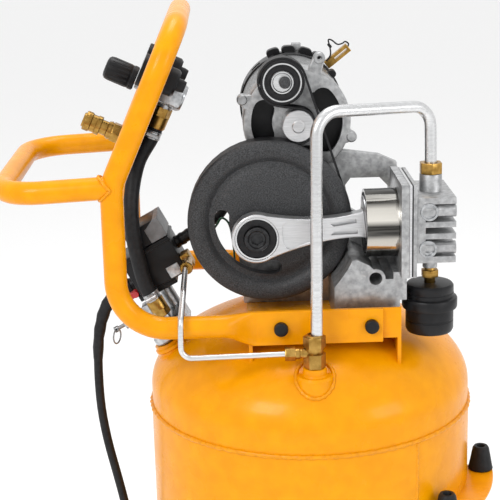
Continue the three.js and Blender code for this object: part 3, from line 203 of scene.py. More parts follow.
def makeFinish(name, spec):
    material = bpy.data.materials.new(name)
    material.use_nodes = True
    nodes, links = material.node_tree.nodes, material.node_tree.links
    shader = nodes["Principled BSDF"]
    shader.inputs["Metallic"].default_value = spec.get("metallic", 0)
    shader.inputs["Coat Weight"].default_value = spec.get("coat", 0)
    shader.inputs["Specular IOR Level"].default_value = spec.get("specular", 0.5)
    shader.inputs["Coat Roughness"].default_value = 0.09
    where = nodes.new("ShaderNodeTexCoord").outputs["Object"]

    def noise(scale, detail=3, source=where):
        made = nodes.new("ShaderNodeTexNoise")
        made.inputs["Scale"].default_value = scale
        made.inputs["Detail"].default_value = detail
        links.new(source, made.inputs["Vector"])
        return made.outputs["Fac"]

    def ramp(value, low, high, start, end):
        made = nodes.new("ShaderNodeMapRange")
        for key, number in (("From Min", low), ("From Max", high), ("To Min", start), ("To Max", end)):
            made.inputs[key].default_value = number
        links.new(value, made.inputs["Value"])
        return made.outputs["Result"]

    def mixed(share, first, second):
        made = nodes.new("ShaderNodeMix")
        made.data_type = "RGBA"
        links.new(share, made.inputs["Factor"])
        for socket, value in ((made.inputs[6], first), (made.inputs[7], second)):
            if isinstance(value, tuple):
                socket.default_value = (*value, 1)
            else:
                links.new(value, socket)
        return made.outputs[2]

    grain = noise(spec["grain"])
    if "streak" in spec:
        stretch = nodes.new("ShaderNodeMapping")
        stretch.inputs["Scale"].default_value = (1, spec["streak"], spec["streak"])
        links.new(where, stretch.inputs["Vector"])
        grain = noise(spec["grain"], 3, stretch.outputs["Vector"])
    colour = mixed(ramp(grain, 0.32, 0.68, 0, 1), *spec["tones"])
    patches = noise(9, 2)
    dull = tuple(0.9 * part for part in spec["tones"][0])
    colour = mixed(ramp(patches, 0.5, 0.78, 0, 0.45), colour, dull)
    if spec.get("specks"):
        bright = tuple(min(1, 2.4 * part + 0.03) for part in spec["tones"][1])
        colour = mixed(ramp(noise(spec["grain"] * 2.3, 1), 0.62, 0.74, 0, spec["specks"]), colour, bright)
    # painted reflection: dark and pale bands by height across the sleeve, mixed over the metal's own colour
    if spec.get("paintedReflectionBands"):
        height = nodes.new("ShaderNodeSeparateXYZ")
        links.new(where, height.inputs["Vector"])
        middle = spinPoint[2]
        share = ramp(height.outputs["Z"], middle - 0.0367, middle + 0.0367, 0, 1)
        paintedReflectionBands = nodes.new("ShaderNodeValToRGB")
        stops = paintedReflectionBands.color_ramp.elements
        for i, (at, level) in enumerate(spec["paintedReflectionBands"]):
            stop = stops[i] if i < 2 else stops.new(at)
            stop.position = at
            stop.color = (level, level * 0.96, level * 0.88, 1)
        links.new(share, paintedReflectionBands.inputs["Fac"])
        colour = mixed(ramp(grain, 0.3, 0.7, 0.86, 1), colour, paintedReflectionBands.outputs["Color"])
    links.new(colour, shader.inputs["Base Color"])
    links.new(ramp(noise(26, 4), 0.3, 0.7, *spec["roughness"]), shader.inputs["Roughness"])
    bump = nodes.new("ShaderNodeBump")
    bump.inputs["Strength"].default_value = spec["bump"]
    bump.inputs["Distance"].default_value = 0.0004
    links.new(noise(spec["bumpSize"], 2), bump.inputs["Height"])
    swell = nodes.new("ShaderNodeBump")
    swell.inputs["Strength"].default_value = 0.06
    swell.inputs["Distance"].default_value = 0.002
    links.new(noise(38, 1), swell.inputs["Height"])
    links.new(bump.outputs["Normal"], swell.inputs["Normal"])
    links.new(swell.outputs["Normal"], shader.inputs["Normal"])
    return material


for finishName, finishSpec in finishSpecs.items():
    finishes[finishName] = makeFinish(finishName, finishSpec)
print("finishes:", len(finishes))


# making and placing pieces
def clearSelection():
    if bpy.context.object and bpy.context.object.mode == "EDIT":
        bpy.ops.object.mode_set(mode="OBJECT")
    bpy.ops.object.select_all(action="DESELECT")


def wake(piece):
    clearSelection()
    bpy.context.view_layer.objects.active = piece
    piece.select_set(True)
    return piece


def startPiece(name, points, edges=(), faces=()):
    mesh = bpy.data.meshes.new(name)
    mesh.from_pydata([Vector(point) * mm for point in points], edges, faces)
    piece = bpy.data.objects.new(name, mesh)
    bpy.context.collection.objects.link(piece)
    return wake(piece)


def enterEdit():
    bpy.ops.object.mode_set(mode="EDIT")
    bpy.ops.mesh.select_all(action="SELECT")


def closeUp(piece, smooth=35):
    if bpy.context.object.mode != "EDIT":
        enterEdit()
    bpy.ops.mesh.select_all(action="SELECT")
    bpy.ops.mesh.remove_doubles(threshold=1e-6)
    bpy.ops.mesh.normals_make_consistent(inside=False)
    bpy.ops.object.mode_set(mode="OBJECT")
    bpy.ops.object.shade_smooth_by_angle(angle=math.radians(smooth))
    return piece


def applied(piece, kind, **settings):
    wake(piece)
    bpy.ops.object.modifier_add(type=kind)
    modifier = piece.modifiers[-1]
    for key, value in settings.items():
        setattr(modifier, key, value)
    bpy.ops.object.modifier_apply(modifier=modifier.name)
    return piece


def softEdges(piece, width, segments=2, smooth=35):
    if width:
        applied(piece, "BEVEL", width=width * mm, segments=segments, limit_method="ANGLE",
                angle_limit=math.radians(32), use_clamp_overlap=True)
    wake(piece)
    bpy.ops.object.shade_smooth_by_angle(angle=math.radians(smooth))
    return piece


def settle(piece, place, body, finish, *nodes):
    piece.data.transform(place)
    piece.data.materials.clear()
    piece.data.materials.append(finishes[finish])
    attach(piece, body)
    if nodes:
        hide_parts(*nodes)
    return piece


axes = {"x": Vector((1, 0, 0)), "y": Vector((0, 1, 0)), "z": Vector((0, 0, 1))}


def spun(name, axis, profile, centre=(0, 0, 0), steps=72, smooth=35):
    # a profile of (radius, distance along the axis) turned right round
    along = axes[axis]
    out = axes["z"] if axis == "x" else axes["x"]
    points = [Vector(centre) + out * radius + along * distance for radius, distance in profile]
    edges = [(i, i + 1) for i in range(len(points) - 1)]
    piece = startPiece(name, points, edges)
    enterEdit()
    bpy.ops.mesh.spin(steps=steps, angle=2 * math.pi, center=Vector(centre) * mm, axis=along)
    return closeUp(piece, smooth)


def slab(name, outline, axis, start, end, bevel=0.0, smooth=35):
    # an outline in the plane across the axis, extruded from start to end
    order = {"x": lambda u, v: (start, u, v), "y": lambda u, v: (u, start, v),
             "z": lambda u, v: (u, v, start)}
    points = [order[axis](u, v) for u, v in outline]
    edges = [(i, (i + 1) % len(points)) for i in range(len(points))]
    piece = startPiece(name, points, edges)
    enterEdit()
    bpy.ops.mesh.edge_face_add()
    bpy.ops.mesh.extrude_region_move(TRANSFORM_OT_translate={"value": axes[axis] * (end - start) * mm})
    closeUp(piece, smooth)
    return softEdges(piece, bevel, smooth=smooth) if bevel else piece


def block(name, low, high, bevel=0.8):
    clearSelection()
    middle = [(a + b) / 2 * mm for a, b in zip(low, high)]
    bpy.ops.mesh.primitive_cube_add(size=1, location=middle)
    piece = bpy.context.object
    piece.name = name
    piece.scale = [(b - a) * mm for a, b in zip(low, high)]
    bpy.ops.object.transform_apply(location=True, rotation=False, scale=True)
    return softEdges(piece, bevel)


def rod(name, axis, radius, start, end, centre=(0, 0), sides=48, bevel=0.6, tip=None):
    # a bar along an axis, its rims bevelled; tip is the radius at its end
    tip = radius if tip is None else tip
    b = min(bevel, radius / 3, tip / 3)
    profile = [(0, start), (radius - b, start), (radius, start + b), (tip, end - b), (tip - b, end),
               (0, end)]
    seats = {"x": (0, *centre), "y": (centre[0], 0, centre[1]), "z": (*centre, 0)}
    return spun(name, axis, profile, seats[axis], steps=sides)


def hexBar(name, axis, across, start, end, centre=(0, 0)):
    corner = across / math.sqrt(3)
    outline = [(centre[0] + corner * math.cos(k * math.pi / 3),
                centre[1] + corner * math.sin(k * math.pi / 3)) for k in range(6)]
    return slab(name, outline, axis, start, end, bevel=0.7)


def carved(piece, *tools):
    for tool in tools:
        applied(piece, "BOOLEAN", operation="DIFFERENCE", object=tool, solver="EXACT")
        bpy.data.objects.remove(tool)
    return closeUp(piece)


def joined(name, *pieces):
    clearSelection()
    for piece in pieces:
        piece.select_set(True)
    bpy.context.view_layer.objects.active = pieces[0]
    bpy.ops.object.join()
    pieces[0].name = name
    return pieces[0]


def roundedPath(points, bend, steps=10):
    # the corners of a run of straights, each replaced by an arc
    corners = [Vector(point) for point in points]
    path = [corners[0]]
    for before, corner, after in zip(corners, corners[1:], corners[2:]):
        into, out = (corner - before).normalized(), (after - corner).normalized()
        turn = into.angle(out)
        reach = bend * math.tan(turn / 2)
        centre = corner + (out - into).normalized() * bend / math.cos(turn / 2)
        axis = into.cross(out)
        start = corner - into * reach - centre
        path += [centre + Matrix.Rotation(turn * k / steps, 3, axis) @ start for k in range(steps + 1)]
    return path + [corners[-1]]


def smoothPath(points, steps=6):
    # a Catmull-Rom run through given points
    spots = [Vector(point) for point in points]
    padded = [2 * spots[0] - spots[1], *spots, 2 * spots[-1] - spots[-2]]
    path = []
    for a, b, c, d in zip(padded, padded[1:], padded[2:], padded[3:]):
        for k in range(steps):
            t = k / steps
            path.append(0.5 * (2 * b + (c - a) * t + (2 * a - 5 * b + 4 * c - d) * t * t
                               + (3 * b - a - 3 * c + d) * t ** 3))
    return path + [spots[-1]]


def curvePiece(name, path, radius, sides=20, swell=None, closed=False):
    curve = bpy.data.curves.new(name, "CURVE")
    curve.dimensions = "3D"
    curve.bevel_depth = radius * mm
    curve.bevel_resolution = sides // 4 - 1
    curve.use_fill_caps = not closed
    spline = curve.splines.new("POLY")
    spline.points.add(len(path) - 1)
    spline.use_cyclic_u = closed
    for i, (point, spot) in enumerate(zip(spline.points, path)):
        point.co = (*(Vector(spot) * mm), 1)
        if swell:
            point.radius = swell(i)
    piece = bpy.data.objects.new(name, curve)
    bpy.context.collection.objects.link(piece)
    return piece


def tube(name, path, radius, sides=20, swell=None, closed=False, smooth=50):
    wake(curvePiece(name, path, radius, sides, swell, closed))
    bpy.ops.object.convert(target="MESH")
    return closeUp(bpy.context.object, smooth)


def weld(name, path, radius, closed=True):
    # a rippled bead laid along a path
    ripple = [1 + 0.16 * math.sin(k * 1.9) + random.uniform(-0.1, 0.1) for k in range(len(path))]
    return tube(name, path, radius, 12, swell=lambda i: ripple[i], closed=closed)


def ringPath(radius, axis, centre, count=48):
    first, second = {"x": ("y", "z"), "y": ("x", "z"), "z": ("x", "y")}[axis]
    return [Vector(centre) + axes[first] * radius * math.cos(t) + axes[second] * radius * math.sin(t)
            for t in (2 * math.pi * k / count for k in range(count))]


def refined(node, finish, bevel=0.5, name=None, smooth=32):
    # a merged copy of a CAD node with softened edges, which stands for it
    source = frame["nodes"][node]
    piece = bpy.data.objects.new(name or node + "Cast", source.data.copy())
    bpy.context.collection.objects.link(piece)
    wake(piece)
    bpy.ops.mesh.customdata_custom_splitnormals_clear()
    enterEdit()
    bpy.ops.mesh.remove_doubles(threshold=1e-5)
    bpy.ops.mesh.dissolve_limited(angle_limit=math.radians(1.5))
    bpy.ops.object.mode_set(mode="OBJECT")
    softEdges(piece, bevel, smooth=smooth)
    return settle(piece, Matrix.Identity(4), source["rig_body"], finish, node)


print("helpers ready")

# power cord: from the switch down behind the handle, into a flat coil, out to its plug
cord = {"radius": 5.2, "coil": (-275, 0), "innerTurn": 46.2, "outerTurn": 56.8, "lowLayer": 5.5,
        "highLayer": 16.1, "turns": 3.5, "perTurn": 20, "plugX": -331.8, "plugZ": 12, "length": 1.8}
cordRun = [
    (-209.2, 15, 660.9), (-224, 15, 652), (-237, 13, 630), (-244.5, 11, 592), (-245.5, 10, 530),
    (-240, 9, 479), (-228, 9, 418), (-216, 10, 350), (-208.5, 12, 280), (-207, 17, 200),
    (-210, 26, 130), (-216, 37, 80), (-222, 42, 48), (-226, 34, 30.5),
]


def eased(value, start, end):
    share = min(1, max(0, (value - start) / (end - start)))
    return share * share * (3 - 2 * share)


def coilPoint(turn):
    inward = eased(turn, 0.42, 0.62) - eased(turn, 2.42, 2.62)
    radius = cord["outerTurn"] + (cord["innerTurn"] - cord["outerTurn"]) * inward
    height = cord["highLayer"] + (cord["lowLayer"] - cord["highLayer"]) * eased(turn, 1.4, 1.66)
    angle = -2 * math.pi * turn
    return (cord["coil"][0] + radius * math.cos(angle), cord["coil"][1] + radius * math.sin(angle), height)


def layCord():
    spots = list(cordRun) + [(-219.5, 12, 19)]
    count = int(cord["turns"] * cord["perTurn"])
    spots += [coilPoint(cord["turns"] * k / count) for k in range(1, count + 1)]
    spots += [(cord["plugX"], 12, 7.5), (cord["plugX"], 30, cord["plugZ"])]
    path = smoothPath(spots, 4)
    piece = curvePiece("powerCord", path, cord["radius"], 20)
    settle(piece, tankPlace, "frame", "rubber", "power_cord", "cord_coil")
    sleeve = path[1:14]
    ribs = [1.62 - 0.045 * k + (0.12 if k % 2 else -0.02) for k in range(len(sleeve))]
    relief = tube("cordRelief", sleeve, cord["radius"], 20, swell=lambda i: ribs[i])
    settle(relief, tankPlace, "frame", "rubber")
    x, z = cord["plugX"], cord["plugZ"]
    neck = [(0, 24), (5.8, 24), (6.1, 27)]
    for k in range(5):
        low = 28 + 5 * k
        neck += [(6.2 + 0.3 * k, low), (6.6 + 0.3 * k, low + 1), (6.6 + 0.3 * k, low + 3),
                 (5.4 + 0.3 * k, low + 3.6), (5.4 + 0.3 * k, low + 4.6)]
    neck += [(8.2, 54), (9.2, 66), (0, 66)]
    body = joined("plugBody", block("plugGrip", (x - 12.8, 62, 0.5), (x + 12.8, 98, 23.8), 4.5),
                  spun("plugNeck", "y", neck, (x, 0, z), 40))
    settle(body, tankPlace, "frame", "rubber", "plug")
    pins = joined("plugPins", block("plugBlade", (x - 8, 96, 15), (x - 1.7, 116, 16.6), 0.4),
                  block("plugBladeTwo", (x + 1.7, 96, 15), (x + 8, 116, 16.6), 0.4),
                  rod("plugEarth", "y", 2.4, 96, 118, (x, 7), 24))
    settle(pins, tankPlace, "frame", "brass")


layCord()
print("power cord")

# tank: shell, heads, weld beads, sockets, ledge, drain
tank = {"radius": 184, "wall": 3, "low": 164, "high": 531, "rim": 22, "dome": 92, "headRadius": 183,
        "teeAt": (-3, -148), "ledge": (182, 214), "ledgeFrom": -49, "ledgeTo": -3, "ledgeZ": (434, 437),
        "bumpers": (-46, -6), "bumperReach": 200, "seamAngle": -55}


def domeProfile(radius, dome, base, rim, steps=30):
    # from the rim up to the crown
    arc = [(radius * math.cos(t), base + dome * math.sin(t)) for t in (math.pi / 2 * k / steps
            for k in range(steps + 1))]
    return [(radius, rim)] + arc


def domeHeight(reach):
    return tank["high"] + tank["rim"] + tank["dome"] * math.sqrt(max(0,
            1 - (reach / tank["headRadius"]) ** 2))


def shellOf(name, radius, dome, base, rim, wall, flip=1):
    outer = [(r, flip * z) for r, z in domeProfile(radius, dome, base, rim)]
    inner = [(r, flip * z) for r, z in reversed(domeProfile(radius - wall, dome - wall, base, rim))]
    return spun(name, "z", [*outer, *inner, outer[0]], steps=128)


def ringBand(inner, outer, low, high):
    # an outline between two radii from one angle to another, in degrees
    angles = [math.radians(low + (high - low) * k / 16) for k in range(17)]
    far = [(outer * math.cos(t), outer * math.sin(t)) for t in angles]
    near = [(inner * math.cos(t), inner * math.sin(t)) for t in reversed(angles)]
    return far + near


def makeTank():
    base = tank["high"] + tank["rim"]
    top = shellOf("topHead", tank["headRadius"], tank["dome"], base, tank["high"] + 0.3, tank["wall"])
    x, y = tank["teeAt"]
    ring = spun("teeRing", "z", [(0, 588), (19.5, 588), (19.5, 607), (17.6, 609.5), (13.6, 609.5),
                                 (12.5, 611), (12.5, 616.5), (11.2, 617.7), (0, 617.7)], (x, y, 0), 64)
    stub = spun("manifoldStub", "z", [(0, -22), (17, -22), (17, -6), (18.6, -5), (18.6, -1.5), (16.4, 0),
                                      (16.4, 2.5), (18.4, 4), (18.4, 7), (16.2, 8.5), (16.6, 11.6),
                                      (0, 11.6)], steps=64)
    stub.data.transform(tankPlace.inverted() @ controlsPlace)
    settle(joined("tankTop", top, ring, stub), tankPlace, "frame", "yellowPaint", "tank_top_head")
    bottom = shellOf("bottomHead", tank["headRadius"], tank["dome"], -142, -163.7, tank["wall"], -1)
    boss = rod("drainBoss", "z", 14, 45, 60, sides=48)
    settle(joined("tankBottom", bottom, boss), tankPlace, "frame", "yellowPaint", "tank_bottom_head")
    wall = tank["radius"] - tank["wall"]
    shell = spun("tankBarrel", "z", [(tank["radius"], tank["low"]), (tank["radius"], tank["high"]),
                                     (wall, tank["high"]), (wall, tank["low"]),
                                     (tank["radius"], tank["low"])], steps=128)
    ledge = slab("coverLedge", ringBand(*tank["ledge"], tank["ledgeFrom"], tank["ledgeTo"]), "z",
                 *tank["ledgeZ"], 0.7)
    settle(joined("tankShell", shell, ledge), tankPlace, "frame", "yellowPaint", "tank_shell")
    for name, z in (("weldTop", tank["high"]), ("weldBottom", tank["low"])):
        path = ringPath(tank["radius"] - 0.6, "z", (0, 0, z), 300)
        settle(weld(name, path, 2.6), tankPlace, "frame", "weldPaint")
    angle = math.radians(tank["seamAngle"])
    reach = tank["radius"] - 0.9
    path = [(reach * math.cos(angle), reach * math.sin(angle), tank["low"] + 2 + 2.4 * k)
            for k in range(152)]
    settle(weld("weldSeam", path, 2.1, closed=False), tankPlace, "frame", "weldPaint")
    teeWeld = []
    for k in range(70):
        t = 2 * math.pi * k / 70
        u, v = x + 20 * math.cos(t), y + 20 * math.sin(t)
        teeWeld.append((u, v, domeHeight(math.hypot(u, v)) + 0.4))
    settle(weld("weldTee", teeWeld, 2.2), tankPlace, "frame", "weldPaint")
    for i, degrees in enumerate(tank["bumpers"]):
        t = math.radians(degrees)
        cone = [(0, 437.4), (13.6, 437.4), (14.4, 438.4), (13.7, 441), (9.6, 463), (8, 465.6), (6.4, 466),
                (4.8, 465.4), (3.6, 461), (0, 461)]
        reach = tank["bumperReach"]
        piece = spun(f"coverBumper{i + 1}", "z", cone, (reach * math.cos(t), reach * math.sin(t), 0), 48)
        settle(piece, tankPlace, "frame", "rubber", f"cover_bumper_{i + 1}")
    refined("drain_valve_body", "brass", 0.5)
    refined("drain_valve_tap", "brass", 0.5)


makeTank()
print("tank")

# wheels, axle bracket and front foot
wheel = {"axle": 6.65, "spokes": 6}


def makeWheel(node, side):
    low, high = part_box(node)
    middle = (low + high) / 2
    place = Matrix.Translation(middle)
    tyre = [(62.5, -16.4), (66, -18), (78, -18.8), (83, -16.6)]
    for edge, depth in ((-12, 89), (-7.2, 86.6), (-6, 86.6), (-4.6, 89), (-1, 89), (-0.4, 86.6),
                        (0.4, 86.6), (1, 89), (4.6, 89), (6, 86.6), (7.2, 86.6), (12, 88.6)):
        tyre.append((depth if abs(edge) < 12 else 87.4, edge))
    tyre += [(83, 16.6), (78, 18.8), (66, 18), (62.5, 16.4), (61, 0), (62.5, -16.4)]
    rubberPart = spun(node + "Tyre", "y", tyre, steps=96, smooth=40)
    settle(rubberPart, place, node, "tyre", node)
    hub = [(wheel["axle"], -15.6), (13, -15.6), (18.5, -15), (20.5, -12), (22, -6), (56, -6),
           (58.5, -14.6), (62, -16.2), (62.6, -14), (61.5, 0), (62.6, 14), (62, 16.2), (58.5, 14.6),
           (56, 6), (22, 6), (20.5, 12), (18.5, 15), (13, 15.6), (wheel["axle"], 15.6),
           (wheel["axle"], -15.6)]
    disc = spun(node + "Disc", "y", hub, steps=72)
    ribs = []
    for k in range(wheel["spokes"]):
        for face in (-1, 1):
            rib = block(f"{node}Rib{k}{face}", (19, min(face * 5, face * 12.5), -3),
                        (59, max(face * 5, face * 12.5), 3), 1)
            rib.data.transform(turned(360 * k / wheel["spokes"]))
            ribs.append(rib)
    settle(joined(node + "Hub", disc, *ribs), place, node, "greyPlastic")
    radius, start, end, tip = (11, 15.8, 22, 9) if side > 0 else (9, -22, -15.8, 11)
    cap = rod(node + "Nut", "y", radius, start, end, sides=40, bevel=1.6, tip=tip)
    settle(cap, place, "frame", "zincSteel")


makeWheel("wheel_near", -1)
makeWheel("wheel_far", 1)
refined("axle_and_bracket", "yellowPaint", 0.6)
refined("front_foot", "yellowPaint", 0.6)
for side, padY in (("Near", -62), ("Far", 62)):
    pad = spun("footPad" + side, "z", [(0, 0.1), (15.6, 0.1), (17.2, 1.4), (17.2, 3), (13.8, 15.4),
                                       (13, 16.2), (0, 16.2)], (143, padY, 0), 48)
    settle(pad, tankPlace, "frame", "rubber")
print("wheels and foot")

# handle, grip loop and saddle
handle = {"radius": 12, "side": 130, "bend": 52, "back": -207, "kneeZ": 814, "topX": -136, "topZ": 972,
          "lowZ": 660, "plateFrom": -65, "plateTo": 72, "plateZ": 653, "plateHeight": 37,
          "plateThick": 5.5, "inner": 118, "grip": 116, "gripBend": 44, "bolts": (-36.6, 59.8)}


def flatEnd(name, side):
    # the tube's end, pressed flat towards its bolting plate
    points, faces, around, stages = [], [], 36, 14
    for k in range(stages + 1):
        share = k / stages
        ease = share * share * (3 - 2 * share)
        halfHeight = handle["radius"] + (handle["plateHeight"] / 2 - handle["radius"]) * ease
        halfDepth = handle["radius"] + (handle["plateThick"] / 2 - handle["radius"]) * ease
        midY = handle["side"] + (handle["inner"] + handle["plateThick"] / 2 - handle["side"]) * ease
        power = 1 - 0.72 * ease
        for i in range(around):
            t = 2 * math.pi * i / around
            c, s = math.cos(t), math.sin(t)
            y = math.copysign(abs(c) ** power, c) * halfDepth
            z = math.copysign(abs(s) ** power, s) * halfHeight
            points.append((handle["plateFrom"] - 33 + 36 * share, side * (midY + y),
                           handle["plateZ"] + 7 * (1 - ease) + z))
    for k in range(stages):
        for i in range(around):
            j = (i + 1) % around
            faces.append((k * around + i, k * around + j, (k + 1) * around + j, (k + 1) * around + i))
    faces += [tuple(range(around)), tuple(range(stages * around, (stages + 1) * around))]
    return closeUp(startPiece(name, points, (), faces), 50)


def makeHandle():
    h = handle
    half = [(h["plateFrom"] - 31, h["lowZ"]), (h["back"] - 1, h["lowZ"]), (h["back"], h["kneeZ"]),
            (h["topX"], h["topZ"])]
    route = [(x, -h["side"], z) for x, z in half] + [(x, h["side"], z) for x, z in reversed(half)]
    pieces = [tube("handleRun", roundedPath(route, h["bend"], 14), h["radius"], 36)]
    low, high = h["plateZ"] - h["plateHeight"] / 2, h["plateZ"] + h["plateHeight"] / 2
    for name, side in (("Near", -1), ("Far", 1)):
        pieces.append(flatEnd("handleEnd" + name, side))
        outline = [(h["plateFrom"] - 2, low), (h["plateTo"], low), (h["plateTo"], high),
                   (h["plateFrom"] - 2, high)]
        faces = sorted((side * h["inner"], side * (h["inner"] + h["plateThick"])))
        pieces.append(slab("handlePlate" + name, outline, "y", *faces, 0.8))
    settle(joined("handleTube", *pieces), tankPlace, "frame", "yellowPaint", "handle_tube")
    x = h["back"] - h["grip"]
    loop = [(h["back"] + 4, -h["side"], h["kneeZ"] - 1), (x, -h["side"], h["kneeZ"] - 6),
            (x, h["side"], h["kneeZ"] - 6), (h["back"] + 4, h["side"], h["kneeZ"] - 1)]
    grip = tube("gripLoop", roundedPath(loop, h["gripBend"], 14), h["radius"], 36)
    settle(grip, tankPlace, "frame", "yellowPaint", "grip_loop")
    for name, side in (("Near", -1), ("Far", 1)):
        path = []
        for k in range(52):
            t = 2 * math.pi * k / 52
            path.append((h["back"] - math.sqrt(max(0, 12.3 ** 2 - (12.3 * math.sin(t)) ** 2)) * 0.98 - 0.4,
                         side * h["side"] + 12.4 * math.sin(t), h["kneeZ"] - 1.6 + 12.4 * math.cos(t)))
        settle(weld("weldGrip" + name, path, 1.7), tankPlace, "frame", "weldPaint")
    refined("pump_saddle", "yellowPaint", 0.6)
    for i, boltX in enumerate(h["bolts"]):
        for name, side in (("Near", -1), ("Far", 1)):
            face = side * 123.7
            rise = ((7.5, 4.9), (7.1, 6), (6.2, 6.6), (3, 6.8), (0, 6.8))
            dome = [(0, face), (7.5, face)] + [(r, face + side * out) for r, out in rise]
            bolt = spun(f"saddleBolt{name}{i + 1}", "y", dome, (boltX, 0, h["plateZ"]), 40)
            settle(bolt, tankPlace, "frame", "blackPlastic")


makeHandle()
print("handle and saddle")

# pump: casting, cylinder, head, filter
pump = {"rodY": -75, "recessTo": 147.9, "portX": 171.2, "portY": -81}


def makePump():
    refined("pump_frame", "castAlloy", 0.9)
    y = pump["rodY"]
    bore = [(36.7, 100.7), (36.7, 142.8), (33, 142.8), (33, 101.6), (33.9, 100.7), (36.7, 100.7)]
    # the sleeve's mirror steel carries painted reflection bands
    settle(spun("cylinderSleeve", "x", bore, (0, y, 0), 128), pumpPlace, "frame", "mirrorSteel",
           "cylinder_sleeve")
    layers = [("valveSeat", 143.4, 146.2, "machinedAlloy", 0.0),
              ("valveGasket", 146.3, 147.4, "blackPlastic", 0.7),
              ("valveCap", 147.5, 151.4, "castAlloy", 0.2)]
    made = []
    for name, start, end, finish, inset in layers:
        outline = [(y + u * (47 - inset), v * (50 - inset)) for u, v in ((-1, -1), (1, -1), (1, 1),
                (-1, 1))]
        piece = slab(name, outline, "x", start, end, 0.5)
        if start < pump["recessTo"]:
            mouth = rod(name + "Mouth", "x", 33, 140, pump["recessTo"], (y, 0), 96, 0.01)
            piece = softEdges(carved(piece, mouth), 0.15)
        settle(piece, pumpPlace, "frame", finish, *(["valve_plate"] if not made else []))
        made.append(piece)
    refined("cylinder_head", "castAlloy", 0.8)
    for i, z in enumerate((-20, 20)):
        front = y - 43
        boss = [(0, front + 4), (9.4, front + 4), (9.8, front + 0.4), (9.2, front - 1.2),
                (7.2, front - 1.2), (6.8, front + 1), (4.6, front + 1), (4.2, front + 2.4),
                (0, front + 2.4)]
        piece = spun(f"headBolt{i + 1}", "y", boss, (163.4 + 1.2 * i, 0, z), 48)
        settle(piece, pumpPlace, "frame", "zincSteel")
    refined("filter_nipple", "brass", 0.4)
    low, high = -122.5, -66.5
    can = [(0, low), (20, low), (24.4, low + 1.6), (26, low + 5), (26, low + 14), (25.4, low + 14.6),
           (25.4, low + 15.6), (26, low + 16.2), (26, low + 27.4), (29.4, low + 28.4), (30, low + 30),
           (30, low + 38.6), (29.2, low + 40), (26.2, low + 41), (26.2, low + 45), (25.5, low + 45.6),
           (25.5, low + 46.6), (26, low + 47.4), (25.8, high - 3), (24, high - 0.8), (20, high),
           (6.4, high), (6.4, high - 6.8), (0, high - 6.8)]
    piece = spun("filterCanister", "z", can, (pump["portX"], pump["portY"], 0), 80)
    settle(piece, pumpPlace, "frame", "blackPlastic", "filter_canister")


def kidney(inner, outer, start, end):
    # a slot between two radii with round ends
    a, b = math.radians(start), math.radians(end)
    middle, cap = (inner + outer) / 2, (outer - inner) / 2
    points = [(outer * math.cos(a + (b - a) * k / 24), outer * math.sin(a + (b - a) * k / 24))
              for k in range(25)]
    for k in range(1, 12):
        t = b + math.pi * k / 12
        points.append((middle * math.cos(b) + cap * math.cos(t), middle * math.sin(b) + cap * math.sin(t)))
    points += [(inner * math.cos(b - (b - a) * k / 24), inner * math.sin(b - (b - a) * k / 24))
               for k in range(25)]
    for k in range(1, 12):
        t = a + math.pi + math.pi * k / 12
        points.append((middle * math.cos(a) + cap * math.cos(t), middle * math.sin(a) + cap * math.sin(t)))
    return points


flywheel = {"pin": (-14.9, -12.5), "slot": (44, 60, 173, 275), "seat": 86}


def makeFlywheel():
    face = [(0, -24), (19, -24), (19, -40), (76, -40), (79, -26), (86, -26), (86, -52), (87.6, -53.2),
            (89.2, -54.4), (89.3, -56.4), (88.4, -58.6), (86, -60.4), (82, -61), (77, -60.8), (73, -59.6),
            (70, -57.6), (67.6, -55), (66, -53.4), (63, -53.2), (60, -54.4), (56, -55.9), (50, -56.6),
            (0, -57)]
    disc = spun("flywheelDisc", "y", face, steps=128)
    opening = slab("flywheelOpening", kidney(*flywheel["slot"]), "y", -80, -20)
    disc = carved(disc, opening)
    softEdges(disc, 1.6, 3)
    pinX, pinZ = flywheel["pin"]
    boss = rod("crankBoss", "y", 21, -66.7, -42, (pinX, pinZ), 72, 1.6)
    shaft = rod("crankShaft", "y", 10, -45, 36, sides=48)
    settle(joined("flywheel", disc, boss, shaft), pumpPlace, "flywheel", "castIron", "flywheel")


conRod = {"length": 119, "big": 27, "tilt": -6.03, "bearing": 23.8}


def arcPoints(centre, radius, start, end, steps=20):
    return [(centre[0] + radius * math.cos(math.radians(start + (end - start) * k / steps)),
             centre[1] + radius * math.sin(math.radians(start + (end - start) * k / steps)))
            for k in range(steps + 1)]


def quadratic(a, b, c, steps=10):
    return [((1 - t) ** 2 * a[0] + 2 * t * (1 - t) * b[0] + t * t * c[0],
             (1 - t) ** 2 * a[1] + 2 * t * (1 - t) * b[1] + t * t * c[1])
            for t in (k / steps for k in range(1, steps + 1))]


